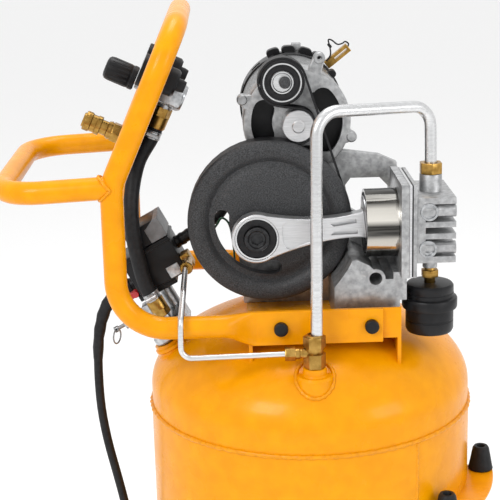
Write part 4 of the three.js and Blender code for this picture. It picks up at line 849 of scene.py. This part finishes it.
def makeRod():
    place = jointPlace("rod_tilt") @ turned(conRod["tilt"])
    far, big = -conRod["length"], conRod["big"]
    outline = arcPoints((far, 0), big, 62, 298, 48)
    outline += quadratic(outline[-1], (-70, -13), (-34, -12))
    outline += quadratic((-34, -12), (-12, -12), (-1.8, -15)) + [(-1.8, 15)]
    outline += quadratic((-1.8, 15), (-12, 12), (-34, 12))
    outline += quadratic((-34, 12), (-70, 13), outline[0])[:-1]
    shank = slab("rodShank", outline, "y", -8, 8, 1.4)
    hole = rod("rodHole", "y", conRod["bearing"], -20, 20, (far, 0), 96, 0.01)
    pocket = slab("rodPocket", [(-89.2, -14.2), (-85.4, -16.4), (-80.6, -16), (-62.4, -12.2), (-59, -10.4),
                                (-59, 10.4), (-62.4, 11.6), (-82.9, 14.6), (-88, 13.4), (-90.9, 10),
                                (-91.6, -6)], "y", -9, -4.6, 0.7)
    slotTop = slab("rodSlotTop", [(-36, 2.4), (-11, 3.2), (-11, 8), (-39, 5.8)], "y", -9, -2.6, 0.6)
    slotLow = slab("rodSlotLow", [(-40, -6.6), (-11, -9), (-11, -4.4), (-36, -3)], "y", -9, -2.6, 0.6)
    shank = softEdges(carved(shank, hole, pocket, slotTop, slotLow), 0.5)
    disc = spun("pistonDisc", "x", [(0, -1.8), (28.4, -1.8), (29.5, -1), (29.5, 2.4), (28.8, 3), (0, 3)],
                steps=96)
    settle(joined("connectingRod", shank, disc), place, "rod", "machinedAlloy", "connecting_rod")
    rim = spun("bearingRim", "y", [(23.4, -7.2), (23.4, 7), (21, 7), (21, -6.6), (21.6, -7.4), (23, -7.4),
                                   (23.4, -7.2)], (far, 0, 0), 96)
    settle(rim, place, "rod", "brightTube", "crank_bearing")
    seal = spun("bearingSeal", "y", [(20.8, -6.2), (20.8, 6.2), (13.6, 6.2), (13.6, -6.2), (14.4, -6.8),
                                     (20, -6.8), (20.8, -6.2)], (far, 0, 0), 96)
    settle(seal, place, "rod", "rubber")
    bolt = spun("crankBolt", "y", [(0, 6.8), (10.2, 6.8), (10.2, -7.6), (13.5, -7.6), (13.5, -11),
                                   (12.8, -11.9), (10.4, -12), (9.6, -11.4), (9.2, -9.8), (8.6, -9.2),
                                   (0, -9.2)], (far, 0, 0), 72)
    flats = 6.4
    socket = slab("crankSocket", [(far + flats * math.cos(math.pi * k / 6) * (1.08 if k % 2 else 0.94),
                                   flats * math.sin(math.pi * k / 6) * (1.08 if k % 2 else 0.94))
                                  for k in range(12)], "y", -14, -6)
    bolt = softEdges(carved(bolt, socket), 0.2)
    settle(bolt, place, "rod", "blackSteel", "crank_bolt")
    cup = spun("cupSeal", "x", [(30.4, 3), (32.5, 2.6), (32.6, 0), (31.6, -2.6), (30.6, -3), (29.9, -1),
                                (30.4, 3)], steps=96)
    seat = jointPlace("rod_tilt")
    settle(cup, seat, "piston", "blackPlastic", "cup_seal")


makePump()
makeFlywheel()
makeRod()
print("pump")

# motor: pierced front bracket, laminations, windings, rear cover, brush holder
motor = {"bell": 59, "stator": 58, "statorBack": 94, "lugs": ((-59, 26), (25.4, 69), (59.5, -18)),
         "idler": (-16.3, 47.7), "pinion": 17.4, "openings": ((158, 200), (-36, 42), (240, 286)),
         "brushAngle": -38, "brushShift": 8.4, "tabs": ((105, 111), (88, 94), (69, 75), (57, 60))}


def radialBlock(name, low, high, degrees, bevel=0.8):
    piece = block(name, low, high, bevel)
    piece.data.transform(turned(degrees))
    return piece


def makeBracket():
    m = motor
    face = [(7.6, -27), (13.6, -27), (15, -26), (15.4, -25.4), (17, -25), (55.6, -25), (58, -24.2),
            (59, -22), (59, 10), (55, 10), (55, -17.4), (53.4, -19), (15, -19), (15, -11), (7.6, -11),
            (7.6, -27)]
    bell = spun("bracketBell", "y", face, steps=128)
    tools = []
    for i, (start, end) in enumerate(m["openings"]):
        tools.append(slab(f"bracketOpening{i}", kidney(27, 50, start, end), "y", -40, 0))
    tools.append(rod("bracketDrill", "y", 2.6, -40, 0, (19, 30), 24, 0.01))
    bell = softEdges(carved(bell, *tools), 0.9, smooth=35)
    pieces = [bell]
    for i, (x, z) in enumerate(m["lugs"]):
        reach, angle = math.hypot(x, z), -math.degrees(math.atan2(z, x))
        wide, tip = (7.5, 6.3) if i == 1 else (8.5, 6)
        taper = [(m["bell"] - 9, -wide - 1.5), (m["bell"] - 1, -wide), (reach, -tip), (reach, tip),
                 (m["bell"] - 1, wide), (m["bell"] - 9, wide + 1.5)]
        arm = slab(f"bracketArm{i}", taper, "y", -24.6, -15.6, 1.2)
        arm.data.transform(turned(angle))
        end = [(0, -15), (tip, -15), (tip, -24.2), (tip - 1.4, -25.6), (0, -26)]
        if i == 1:
            # this lug is drilled right through
            end = [(2.3, -15), (tip, -15), (tip, -24.4), (tip - 0.7, -25.4), (3, -25.4), (2.3, -24.8),
                   (2.3, -15)]
        eye = spun(f"bracketEye{i}", "y", end, (x, 0, z), 48)
        if i == 1:
            arm = carved(arm, rod(f"bracketHole{i}", "y", 2.3, -40, 0, (x, z), 32, 0.01))
        pieces += [arm, eye]
    pad = spun("idlerPad", "y", [(0, -13), (13, -13), (13, -24.4), (12.4, -25), (0, -25)],
               (m["idler"][0], 0, m["idler"][1]), 56)
    pieces.append(pad)
    settle(joined("motorBracket", *pieces), motorPlace, "frame", "castAlloy", "motor_front_bracket")
    # painted shade: a thin black ring inside the bell, seen through the openings, stands in for the
    # shadowed inside of the motor
    inner = spun("bracketShade", "y", [(27, -9), (54.6, -9), (54.6, -8), (27, -8), (27, -9)], steps=64)
    settle(inner, motorPlace, "frame", "blackPlastic")


def makeMotor():
    m = motor
    # the stack of laminations, grooved all round
    profile = [(30, 10.4)]
    y = 10.4
    while y < m["statorBack"] - 0.8:
        profile += [(m["stator"], y), (m["stator"], y + 1.3), (m["stator"] - 0.7, y + 1.45),
                    (m["stator"] - 0.7, y + 1.6)]
        y += 1.65
    profile += [(m["stator"], m["statorBack"] - 0.1), (30, m["statorBack"] - 0.1), (30, 10.4)]
    stack = spun("statorStack", "y", profile, steps=96, smooth=30)
    ties = [rod(f"statorTie{k}", "y", 3, 8, 94, (54.6 * math.cos(t), 54.6 * math.sin(t)), 20)
            for k, t in enumerate(math.radians(45 + 90 * j) for j in range(4))]
    settle(joined("motorStator", stack, *ties), motorPlace, "frame", "steel", "motor_stator")
    wires = []
    for k in range(22):
        ring = 33.5 + 2.1 * (k % 5) + random.uniform(-0.3, 0.3)
        y = 2.2 + 2.0 * (k // 5)
        for side, start in enumerate((-64, 116)):
            arc = [(ring * math.cos(t), y + 1.2 * math.sin(5 * t), ring * math.sin(t))
                   for t in (math.radians(start + 128 * j / 26) for j in range(27))]
            wires.append(tube(f"coil{k}_{side}", arc, 1.15, 8))
    settle(joined("fieldWindings", *wires), motorPlace, "frame", "winding")
    armature = [(0, -54), (5.8, -54), (7, -53), (7, 8), (18, 8), (24, 11), (28, 15), (28, 88), (24, 93),
                (18, 96), (7, 96), (7, 122), (6, 123), (0, 123)]
    shaft = spun("armature", "y", armature, steps=64)
    pinion = spun("pinion", "y", [(6, -51.6), (16.4, -51.6), (17.4, -50.6), (17.4, -31.6), (16.4, -30.6),
                                  (6, -30.6), (6, -51.6)], steps=96)
    settle(joined("motorRotor", shaft, pinion), motorPlace, "rotor", "machinedAlloy", "motor_rotor")
    blades = [spun("fanDisc", "y", [(7, 104), (52, 104), (52.6, 105.2), (52, 106.4), (20, 106.6),
                                    (16, 117), (7, 117), (7, 104)], steps=96)]
    for k in range(16):
        blades.append(radialBlock(f"fanBlade{k}", (16, 106, -0.9), (51.5, 116, 0.9), 360 * k / 16, 0.4))
    settle(joined("coolingFan", *blades), motorPlace, "rotor", "blackPlastic")
    segments = [radialBlock(f"commutator{k}", (12, 96.6, -1.1), (14.5, 103, 1.1), 15 * k, 0.2)
                for k in range(24)]
    settle(joined("commutator", *segments), motorPlace, "rotor", "brass")
    cover = [(50, 94.4), (58.8, 94.4), (60, 95.6), (60, 124.8), (58.8, 127.2), (56.8, 128), (14, 128),
             (14, 124.5), (55.6, 124.5), (56, 124), (56, 98), (50, 98), (50, 94.4)]
    shell = spun("coverShell", "y", cover, steps=128)
    vents = [radialBlock(f"vent{k}", (51, 101, -6.5), (68, 112, 6.5), -(12 + 360 * k / 12), 1)
             for k in range(12)]
    slots = [slab(f"backSlot{k}", kidney(20 + 8.4 * (k % 4), 24 + 8.4 * (k % 4), 90 * (k // 4) + 9,
                                         90 * (k // 4) + 81), "y", 120, 134) for k in range(16)]
    shell = softEdges(carved(shell, *vents, *slots), 0.4)
    tabs = [slab(f"coverTab{k}", kidney(57, 66.6, *span), "y", 113.4, 125.8, 0.8)
            for k, span in enumerate(m["tabs"])]
    settle(joined("motorRearCover", shell, *tabs), motorPlace, "frame", "blackPlastic", "motor_rear_cover")
    turn = turned(m["brushAngle"]) @ Matrix.Translation((0, 0, m["brushShift"] * mm))
    holder = block("brushSleeve", (60.6, 100.2, -4.9), (92.4, 109.8, 4.9), 0.7)
    cap = block("brushCap", (91.6, 100, -5), (94, 110, 5), 0.6)
    slot = block("brushSlot", (73, 96, -1.1), (91, 114, 1.1), 0.3)
    piece = joined("brushHolder", carved(holder, slot), cap)
    piece.data.transform(turn)
    settle(piece, motorPlace, "frame", "brass", "brush_holder")
    lead = smoothPath([(64, 100, 4), (72, 98, 7), (77, 98.4, 14), (81, 99, 22), (84, 100.4, 19),
                       (86, 102, 11), (91, 103, 8), (95, 104, 7.4), (96.4, 104.6, 3), (94, 105, 0.5)], 6)
    wire = tube("brushLead", lead, 0.9, 12)
    post = rod("brushPost", "z", 1.7, 13, 19, (78, 99), 16)
    cheek = rod("brushKnob", "y", 4.6, 62, 76, (60.5, -6), 32, 0.8)
    for part in (wire, post, cheek):
        part.data.transform(turn)
    settle(joined("brushWiring", wire, post, cheek), motorPlace, "frame", "blackPlastic")
    seat = block("tabPlate", (3, 116, 60), (14, 125, 69.4), 0.8)
    settle(seat, motorPlace, "frame", "castAlloy")


def makeIdler():
    ring = [(16.6, -50.4), (17.2, -51.6), (18.2, -51.8), (20.4, -51.4), (21.6, -52.4), (23.4, -52.4),
            (24, -51.8), (24, -30.2), (23, -29.6), (16.6, -29.6), (16.6, -50.4)]
    outer = spun("idlerRing", "y", ring, steps=96)
    settle(outer, idlerPlace, "idler", "blackPlastic", "idler_pulley")
    chrome = spun("idlerRace", "y", [(19, -51.6), (19.4, -52.3), (20.8, -52.3), (21.2, -51.4), (20, -50.4),
                                     (19, -51.6)], steps=96)
    settle(chrome, idlerPlace, "idler", "brightTube")
    seal = spun("idlerSeal", "y", [(12.6, -50.8), (13.4, -51.2), (18.2, -51.2), (19, -50.6), (19, -31),
                                   (12.6, -31), (12.6, -50.8)], steps=96)
    settle(seal, idlerPlace, "idler", "rubber")
    inner = spun("idlerBush", "y", [(0, -24.6), (9, -24.6), (9, -51), (12.3, -51), (12.5, -51.8),
                                    (11.8, -52.8), (10.6, -52.8), (10, -51.6), (9.4, -50.6), (0, -50.6)],
                 steps=80)
    settle(inner, idlerPlace, "frame", "brightTube", "idler_mount")
    bolt = spun("idlerBolt", "y", [(0, -50), (6.2, -50), (6.2, -56), (5.6, -57.6), (4, -58.4), (0, -58.6)],
                (2.6, 0, 0.2), 48)
    settle(bolt, idlerPlace, "frame", "castIron")


def beltLoop(pulleys, steps=40):
    # the tangent loop round pulleys of (x, z, radius, way round)
    leaving = []
    for i, (x, z, r, way) in enumerate(pulleys):
        nextX, nextZ, nextR, nextWay = pulleys[(i + 1) % len(pulleys)]
        distance = math.hypot(nextX - x, nextZ - z)
        heading = math.atan2(nextZ - z, nextX - x)
        normal = heading - math.acos((way * r - nextWay * nextR) / distance)
        leaving.append((normal if way > 0 else normal + math.pi,
                        normal if nextWay > 0 else normal + math.pi))
    points = []
    for i, (x, z, r, way) in enumerate(pulleys):
        start, end = leaving[i - 1][1], leaving[i][0]
        sweep = (end - start) % (2 * math.pi)
        if way < 0:
            sweep -= 2 * math.pi
        points += [(x + r * math.cos(start + sweep * k / steps),
                    z + r * math.sin(start + sweep * k / steps)) for k in range(steps + 1)]
    return points


def makeBelt():
    x, z = [(spinPoint[0] - rotorPoint[0]) / mm, (spinPoint[2] - rotorPoint[2]) / mm]

    def loop(inside, outside):
        return beltLoop([(x, z, flywheel["seat"] + inside, 1), (*motor["idler"], 24 + inside, 1),
                         (0, 0, motor["pinion"] + outside, -1)])

    outer, inner = loop(2.7, 0.4), loop(0.4, 2.7)
    points, faces, count = [], [], len(outer)
    ribs = [(-51, 0), (-31, 0)]
    for k in range(8):
        ribs += [(-31.4 - 2.4 * k, 1), (-32.6 - 2.4 * k, 0.62), (-33.6 - 2.4 * k, 1)]
    ribs.append((-51, 1))
    for y, share in ribs:
        points += [(a[0] + (b[0] - a[0]) * share, y, a[1] + (b[1] - a[1]) * share)
                   for a, b in zip(outer, inner)]
    for k in range(len(ribs)):
        nextK = (k + 1) % len(ribs)
        for i in range(count):
            j = (i + 1) % count
            faces.append((k * count + i, k * count + j, nextK * count + j, nextK * count + i))
    belt = closeUp(startPiece("driveBelt", points, (), faces), 40)
    settle(belt, motorPlace, "frame", "rubber", "drive_belt")


makeBracket()
makeMotor()
makeIdler()
makeBelt()
print("motor")

# discharge and bleed lines
lines = {"tee": (-3, -148), "tube": 6.35, "bleed": 3.1}


def makeLines():
    x, y = lines["tee"]
    route = [(x + 2.5, y, 644), (x + 5, y, 887), (126.5, -81, 879), (127.5, -81, 811)]
    pipe = tube("dischargeTube", roundedPath(route, 24, 14), lines["tube"], 36)
    settle(pipe, tankPlace, "frame", "brightTube", "discharge_tube")
    route = [(-27, -148, 633.4), (-142, -151, 632.9), (-141.5, -151, 672), (-138.5, -118, 695),
             (-137.5, -56, 702)]
    pipe = tube("bleedTube", roundedPath(route, 12, 12), lines["bleed"], 28)
    settle(pipe, tankPlace, "frame", "brightTube", "bleed_tube")
    body = hexBar("teeBody", "z", 20.6, 618, 634)
    collar = spun("teeCollar", "z", [(0, 620), (9, 620), (9, 636), (9.6, 637), (9.6, 640), (0, 640)],
                  steps=48)
    nut = hexBar("teeNut", "z", 21, 640, 652.6)
    crown = spun("teeCrown", "z", [(0, 650), (10, 650), (10, 652), (8.4, 654), (7, 654), (7, 650),
                                   (0, 650)], steps=48)
    arm = spun("teeArm", "x", [(0, 0), (6, 0), (6, -12), (5.2, -13), (5.2, -15), (6, -16), (6, -21),
                               (0, -21)], (0, 0, 633.4), 40)
    armNut = hexBar("teeArmNut", "x", 13.6, -31, -20, (0, 633.4))
    piece = joined("checkValve", body, collar, nut, crown, arm, armNut)
    settle(piece, tankPlace @ moved(x, y, 0), "frame", "brass", "check_valve_tee")
    refined("discharge_nut_head", "brass", 0.5)


makeLines()
print("lines")

# manifold, relief valve, pressure switch
def makeControls():
    refined("manifold", "zincSteel", 0.9)
    place = controlsPlace
    tub = block("switchTub", (0, -1, 71), (62, 55, 118), 2.2)
    base = block("switchBase", (-4, 5, 64), (44, 49, 72), 1)
    lip = block("switchLip", (-1, -2, 112.5), (62.6, 56, 115.5), 0.8)
    gland = spun("switchGland", "x", [(0, 2), (9, 2), (9, -2), (8, -3), (8, -8), (9, -9), (8.4, -14),
                                      (7.4, -15), (0, -15)], (0, 30, 82), 40)
    settle(joined("pressureSwitch", tub, base, lip, gland), place, "frame", "blackPlastic",
           "pressure_switch")
    refined("switch_cover", "blackPlastic", 1.2)
    wedge = [(42, 118.6), (62.2, 118.6), (62.2, 142.2), (56, 142.2), (42, 135.6)]
    settle(slab("coverStrip", wedge, "y", 0.6, 53.4, 0.8), place, "frame", "greyPlastic")
    lever = joined("switchLever", rod("leverHub", "y", 4, -5, 5, sides=32),
                   block("leverTab", (-13, -5, -3.5), (-2, 5, 3.5), 1.6))
    settle(lever, jointPlace("switch_throw") @ turned(controlsTilt), "switch_lever", "redPlastic",
           "switch_lever")
    plates = [block("plateRight", (41, -2.2, 73), (56, -0.8, 86.5), 0.5),
              block("plateLeft", (8, -2.2, 72.6), (17.5, -0.8, 86), 0.5)]
    plates += [rod("plateRivet0", "y", 1.2, -2.8, -1, (43, 84.4), 16, 0.4),
               rod("plateRivet1", "y", 1.2, -2.8, -1, (54, 75), 16, 0.4)]
    settle(joined("switchPlates", *plates), place, "frame", "zincSteel")
    low = hexBar("hoseNutLow", "z", 18, 44.3, 54)
    ferrule = spun("hoseFerruleLow", "z", [(0, 53), (10.1, 53), (10.1, 64.6), (9.4, 66), (0, 66)], steps=48)
    piece = joined("hoseFittingLow", low, ferrule)
    settle(piece, place @ moved(14, -15, 0), "frame", "brass", "hose_fitting_manifold")
    body = block("elbowBody", (62.3, -8, 74), (73, 12, 92), 1.6)
    barrel = rod("elbowBarrel", "y", 6.5, -28, -4, (67, 83), 40)
    nut = hexBar("elbowNut", "y", 13, -36, -26, (67, 83))
    bead = spun("elbowBead", "y", [(3.4, -36.6), (6.6, -36.6), (7.2, -35), (6.6, -33), (3.4, -33),
                                   (3.4, -36.6)], (67, 0, 83), 40)
    settle(joined("bleedElbow", body, barrel, nut, bead), place, "frame", "brass", "bleed_elbow")
    refined("relief_stem", "steel", 0.2)
    ring = tube("reliefRing", ringPath(8.5, "y", (0, 0, -8.5), 48), 0.95, 12, closed=True)
    ring.data.transform(moved(0, 0, -8.5) @ turned(65, "Z") @ moved(0, 0, 8.5))
    settle(ring, jointPlace("ring_swing"), "relief_ring", "steel", "relief_ring")


makeControls()
print("controls")

# hose, motor lead and their clamps
hose = {"radius": 8.5, "lead": 5, "leadEnd": 57.7}


def makeHoses():
    def fromPlace(place, point):
        return (tankPlace.inverted() @ place @ (Vector(point) * mm)) / mm

    run = [fromPlace(controlsPlace, (14, -15, 62)), fromPlace(controlsPlace, (14, -15, 80)),
           (-188, -28, 696), (-194.5, -28, 735), (-195, -20, 775), (-187, -7, 812),
           fromPlace(panelPlace, (23, 0, -30)), fromPlace(panelPlace, (23, 0, -14))]
    path = smoothPath(run, 12)
    settle(tube("regulatorHose", path, hose["radius"], 36), tankPlace, "frame", "rubber", "regulator_hose")
    for name, place, at, height in (("clampLow", controlsPlace, (14, -15), 70),
                                    ("clampHigh", panelPlace, (23, 0), -24)):
        band = spun(name + "Band", "z", [(8.6, height - 4.5), (9.3, height - 4.5), (9.5, height - 3.6),
                                         (9.3, height - 3), (9.3, height + 3), (9.5, height + 3.6),
                                         (9.3, height + 4.5), (8.6, height + 4.5), (8.6, height - 4.5)],
                    steps=64)
        tongue = block(name + "Tongue", (-4.5, -12.4, height - 4), (4.5, -8.8, height + 4), 0.8)
        screw = rod(name + "Screw", "x", 2.4, -7, 7, (-11.4, height), 24)
        piece = joined(name, band, tongue, screw)
        settle(piece, place @ moved(*at, 0), "frame", "zincSteel")
    lead = [fromPlace(controlsPlace, (61, 30, 100)), fromPlace(controlsPlace, (84, 31, 101)),
            (-98, 30, 741), (-80, 42, 772), (-64, 42, 802), (-10.4 - hose["leadEnd"] * 0.78, 36,
                                                             855.8 - hose["leadEnd"] * 0.626)]
    path = smoothPath(lead, 8)
    settle(tube("motorLead", path, hose["lead"], 28), tankPlace, "frame", "rubber", "motor_lead")
    # a ribbed boot where the lead leaves the switch
    boot = smoothPath(lead[:3], 16)[:30]
    ribs = [1.42 - 0.004 * i + (0.08 if i % 6 < 3 else -0.04) for i in range(len(boot))]
    settle(tube("leadBoot", boot, hose["lead"], 24, swell=lambda i: ribs[i]), tankPlace, "frame",
           "blackPlastic")


makeHoses()
print("hoses")

# control panel with its regulator, gauges and coupler
panel = {"front": -8, "knobZ": 25, "couplerZ": -39, "marks": 30, "sweep": 270, "knurls": 30, "flutes": 16,
         "crown": 18}


def makePanel():
    refined("control_panel", "blackPlastic", 1.1)
    place = panelPlace
    x, z = panel["front"], panel["knobZ"]
    neck = rod("regNeck", "x", 10, x - 8, -3, (0, z), 56)
    nut = spun("regRingNut", "x", [(0, x - 3.3), (15, x - 3.3), (16, x - 2.6), (16, x - 0.4),
                                   (0, x - 0.4)], (0, 0, z), 56)
    can = [(0, -4.7), (14.6, -4.7), (16, -3.6), (16, 26), (17, 27), (17, 31), (15.6, 32), (15.6, 36),
           (13.8, 39.6), (10, 40), (0, 40)]
    barrel = spun("regCan", "x", can, (0, 0, z), 72)
    cross = block("regCross", (13, -20, z - 9), (37, 20, z + 9), 2)
    stub = spun("regStub", "z", [(0, 2), (9, 2), (9, 9.4), (10.4, 9.8), (10.4, 13), (9, 13.6), (9, 25),
                                 (0, 25)], (23, 0, 0), 48)
    crown = [radialCrown(k, z) for k in range(panel["crown"])]
    piece = joined("regulatorBody", neck, nut, barrel, cross, stub, *crown)
    settle(piece, place, "frame", "zincSteel", "regulator_body")
    fitting = joined("hoseFittingHigh", hexBar("hoseNutHigh", "z", 18, -3, 8.7),
                     spun("hoseFerruleHigh", "z", [(0, -2), (10.1, -2), (10.1, -14.6), (9.4, -16),
                                                   (0, -16)], steps=48))
    settle(fitting, place @ moved(23, 0, 0), "frame", "brass", "hose_fitting_regulator")
    shape = [(0, -17.2), (11.6, -17.2), (13.4, -18.4), (13.5, -22.6), (12.9, -23.4), (12.9, -25),
             (13.3, -25.8), (13.3, -46), (12.6, -50), (10.4, -52.2), (7, -53), (0, -53)]
    knob = spun("knobShape", "x", shape, steps=96)
    flutes = []
    for k in range(panel["flutes"]):
        t = 2 * math.pi * k / panel["flutes"]
        flutes.append(rod(f"flute{k}", "x", 1.15, -49.5, -26.5, (13.9 * math.cos(t), 13.9 * math.sin(t)),
                          12, 0.4))
    knob = softEdges(carved(knob, *flutes), 0.25)
    spindle = rod("knobSpindle", "x", 4.6, -20, -6, sides=32)
    seat = jointPlace("knob_turn") @ turned(panelTilt)
    settle(joined("regulatorKnob", knob, spindle), seat, "knob", "blackPlastic", "regulator_knob")
    for name in ("tank", "outlet"):
        makeGauge(name)
    makeCoupler()


def radialCrown(k, z):
    piece = block(f"crown{k}", (27.5, 16.2, -1.6), (30.5, 17.6, 1.6), 0.4)
    piece.data.transform(moved(0, 0, z) @ turned(360 * k / panel["crown"], "X"))
    return piece


def makeGauge(name):
    seat = joints[name + "_needle"]["pos_m"]
    place = Matrix.Translation(seat) @ turned(panelTilt)
    case = [(13.4, -11.4), (13.4, -16.2), (14.4, -17), (17, -17), (18, -16), (18, -8.4), (15.4, -8.4),
            (15.4, 22), (13, 25), (7, 25), (7, 30), (6, 34), (0, 34), (0, -11.2), (13.4, -11.4)]
    shell = spun(name + "GaugeCase", "x", case, steps=72)
    settle(shell, place, "frame", "blackPlastic", "gauge_" + name)
    face = spun(name + "Dial", "x", [(0, -11.6), (13.2, -11.6), (13.2, -11.2), (0, -11.2)], steps=64)
    settle(face, place, "frame", "dialWhite")
    marks = []
    for k in range(panel["marks"] + 1):
        # every fifth mark is a longer and wider one
        half, start = (0.42, 8.8) if k % 5 == 0 else (0.28, 10)
        mark = block(f"{name}Mark{k}", (-11.9, -half, start), (-11.5, half, 12), 0)
        mark.data.transform(turned(panel["sweep"] * (0.5 - k / panel["marks"]), "X"))
        marks.append(mark)
    settle(joined(name + "DialMarks", *marks), place, "frame", "blackPlastic")
    glass = spun(name + "Bezel", "x", [(13.3, -16.3), (15.2, -17.4), (17.2, -17.4), (17.6, -16.8),
                                       (15, -16.4), (13.3, -16.3)], steps=72)
    settle(glass, place, "frame", "brightTube")
    source = frame["nodes"]["needle_" + name]
    source.data.materials.clear()
    source.data.materials.append(finishes["redPlastic"])


def makeCoupler():
    z = panel["couplerZ"]
    body = spun("couplerBody", "x", [(5, -54), (7.6, -54), (8.2, -53.2), (8.2, -26), (9.6, -25),
                                     (9.6, -10), (7.6, -10), (7.6, -3), (5, -3), (5, -54)], (0, 0, z), 56)
    front = hexBar("couplerNut", "x", 20, -20, -8.3, (0, z))
    back = hexBar("couplerLock", "x", 20, -4.7, 3, (0, z))
    groove = spun("couplerGroove", "x", [(9, -23.4), (10.4, -23), (10.4, -21.6), (9, -21.2), (9, -23.4)],
                  (0, 0, z), 56)
    settle(joined("couplerBody", body, front, back, groove), panelPlace, "frame", "brass", "coupler_body")
    sleeve = [(8.8, -52), (10.2, -52), (10.8, -51.4), (10.8, -45), (9.8, -44), (9.8, -39), (10.8, -38),
              (10.8, -33.6), (10.2, -33), (8.8, -33), (8.8, -52)]
    shell = spun("couplerSleeve", "x", sleeve, (0, 0, z), 96)
    grip = []
    for k in range(panel["knurls"]):
        rib = block(f"knurl{k}", (-51, 10.3, -0.5), (-45.6, 11.0, 0.5), 0.15)
        rib.data.transform(moved(0, 0, z) @ turned(360 * k / panel["knurls"], "X"))
        grip.append(rib)
    settle(joined("couplerSleeve", shell, *grip), panelPlace, "coupler_sleeve", "brass", "coupler_sleeve")


makePanel()
print("panel")

# what shows behind the flywheel
def makeWiring():
    path = smoothPath([(-66, -4, -34), (-62, -2, -22), (-57, -4, -14), (-52, -2, -8), (-44, 0, -16),
                       (-40, 2, -40), (-38, 4, -80)], 6)
    settle(tube("groundWire", path, 1.2, 12), pumpPlace, "frame", "greenWire")


makeWiring()
print("wiring")
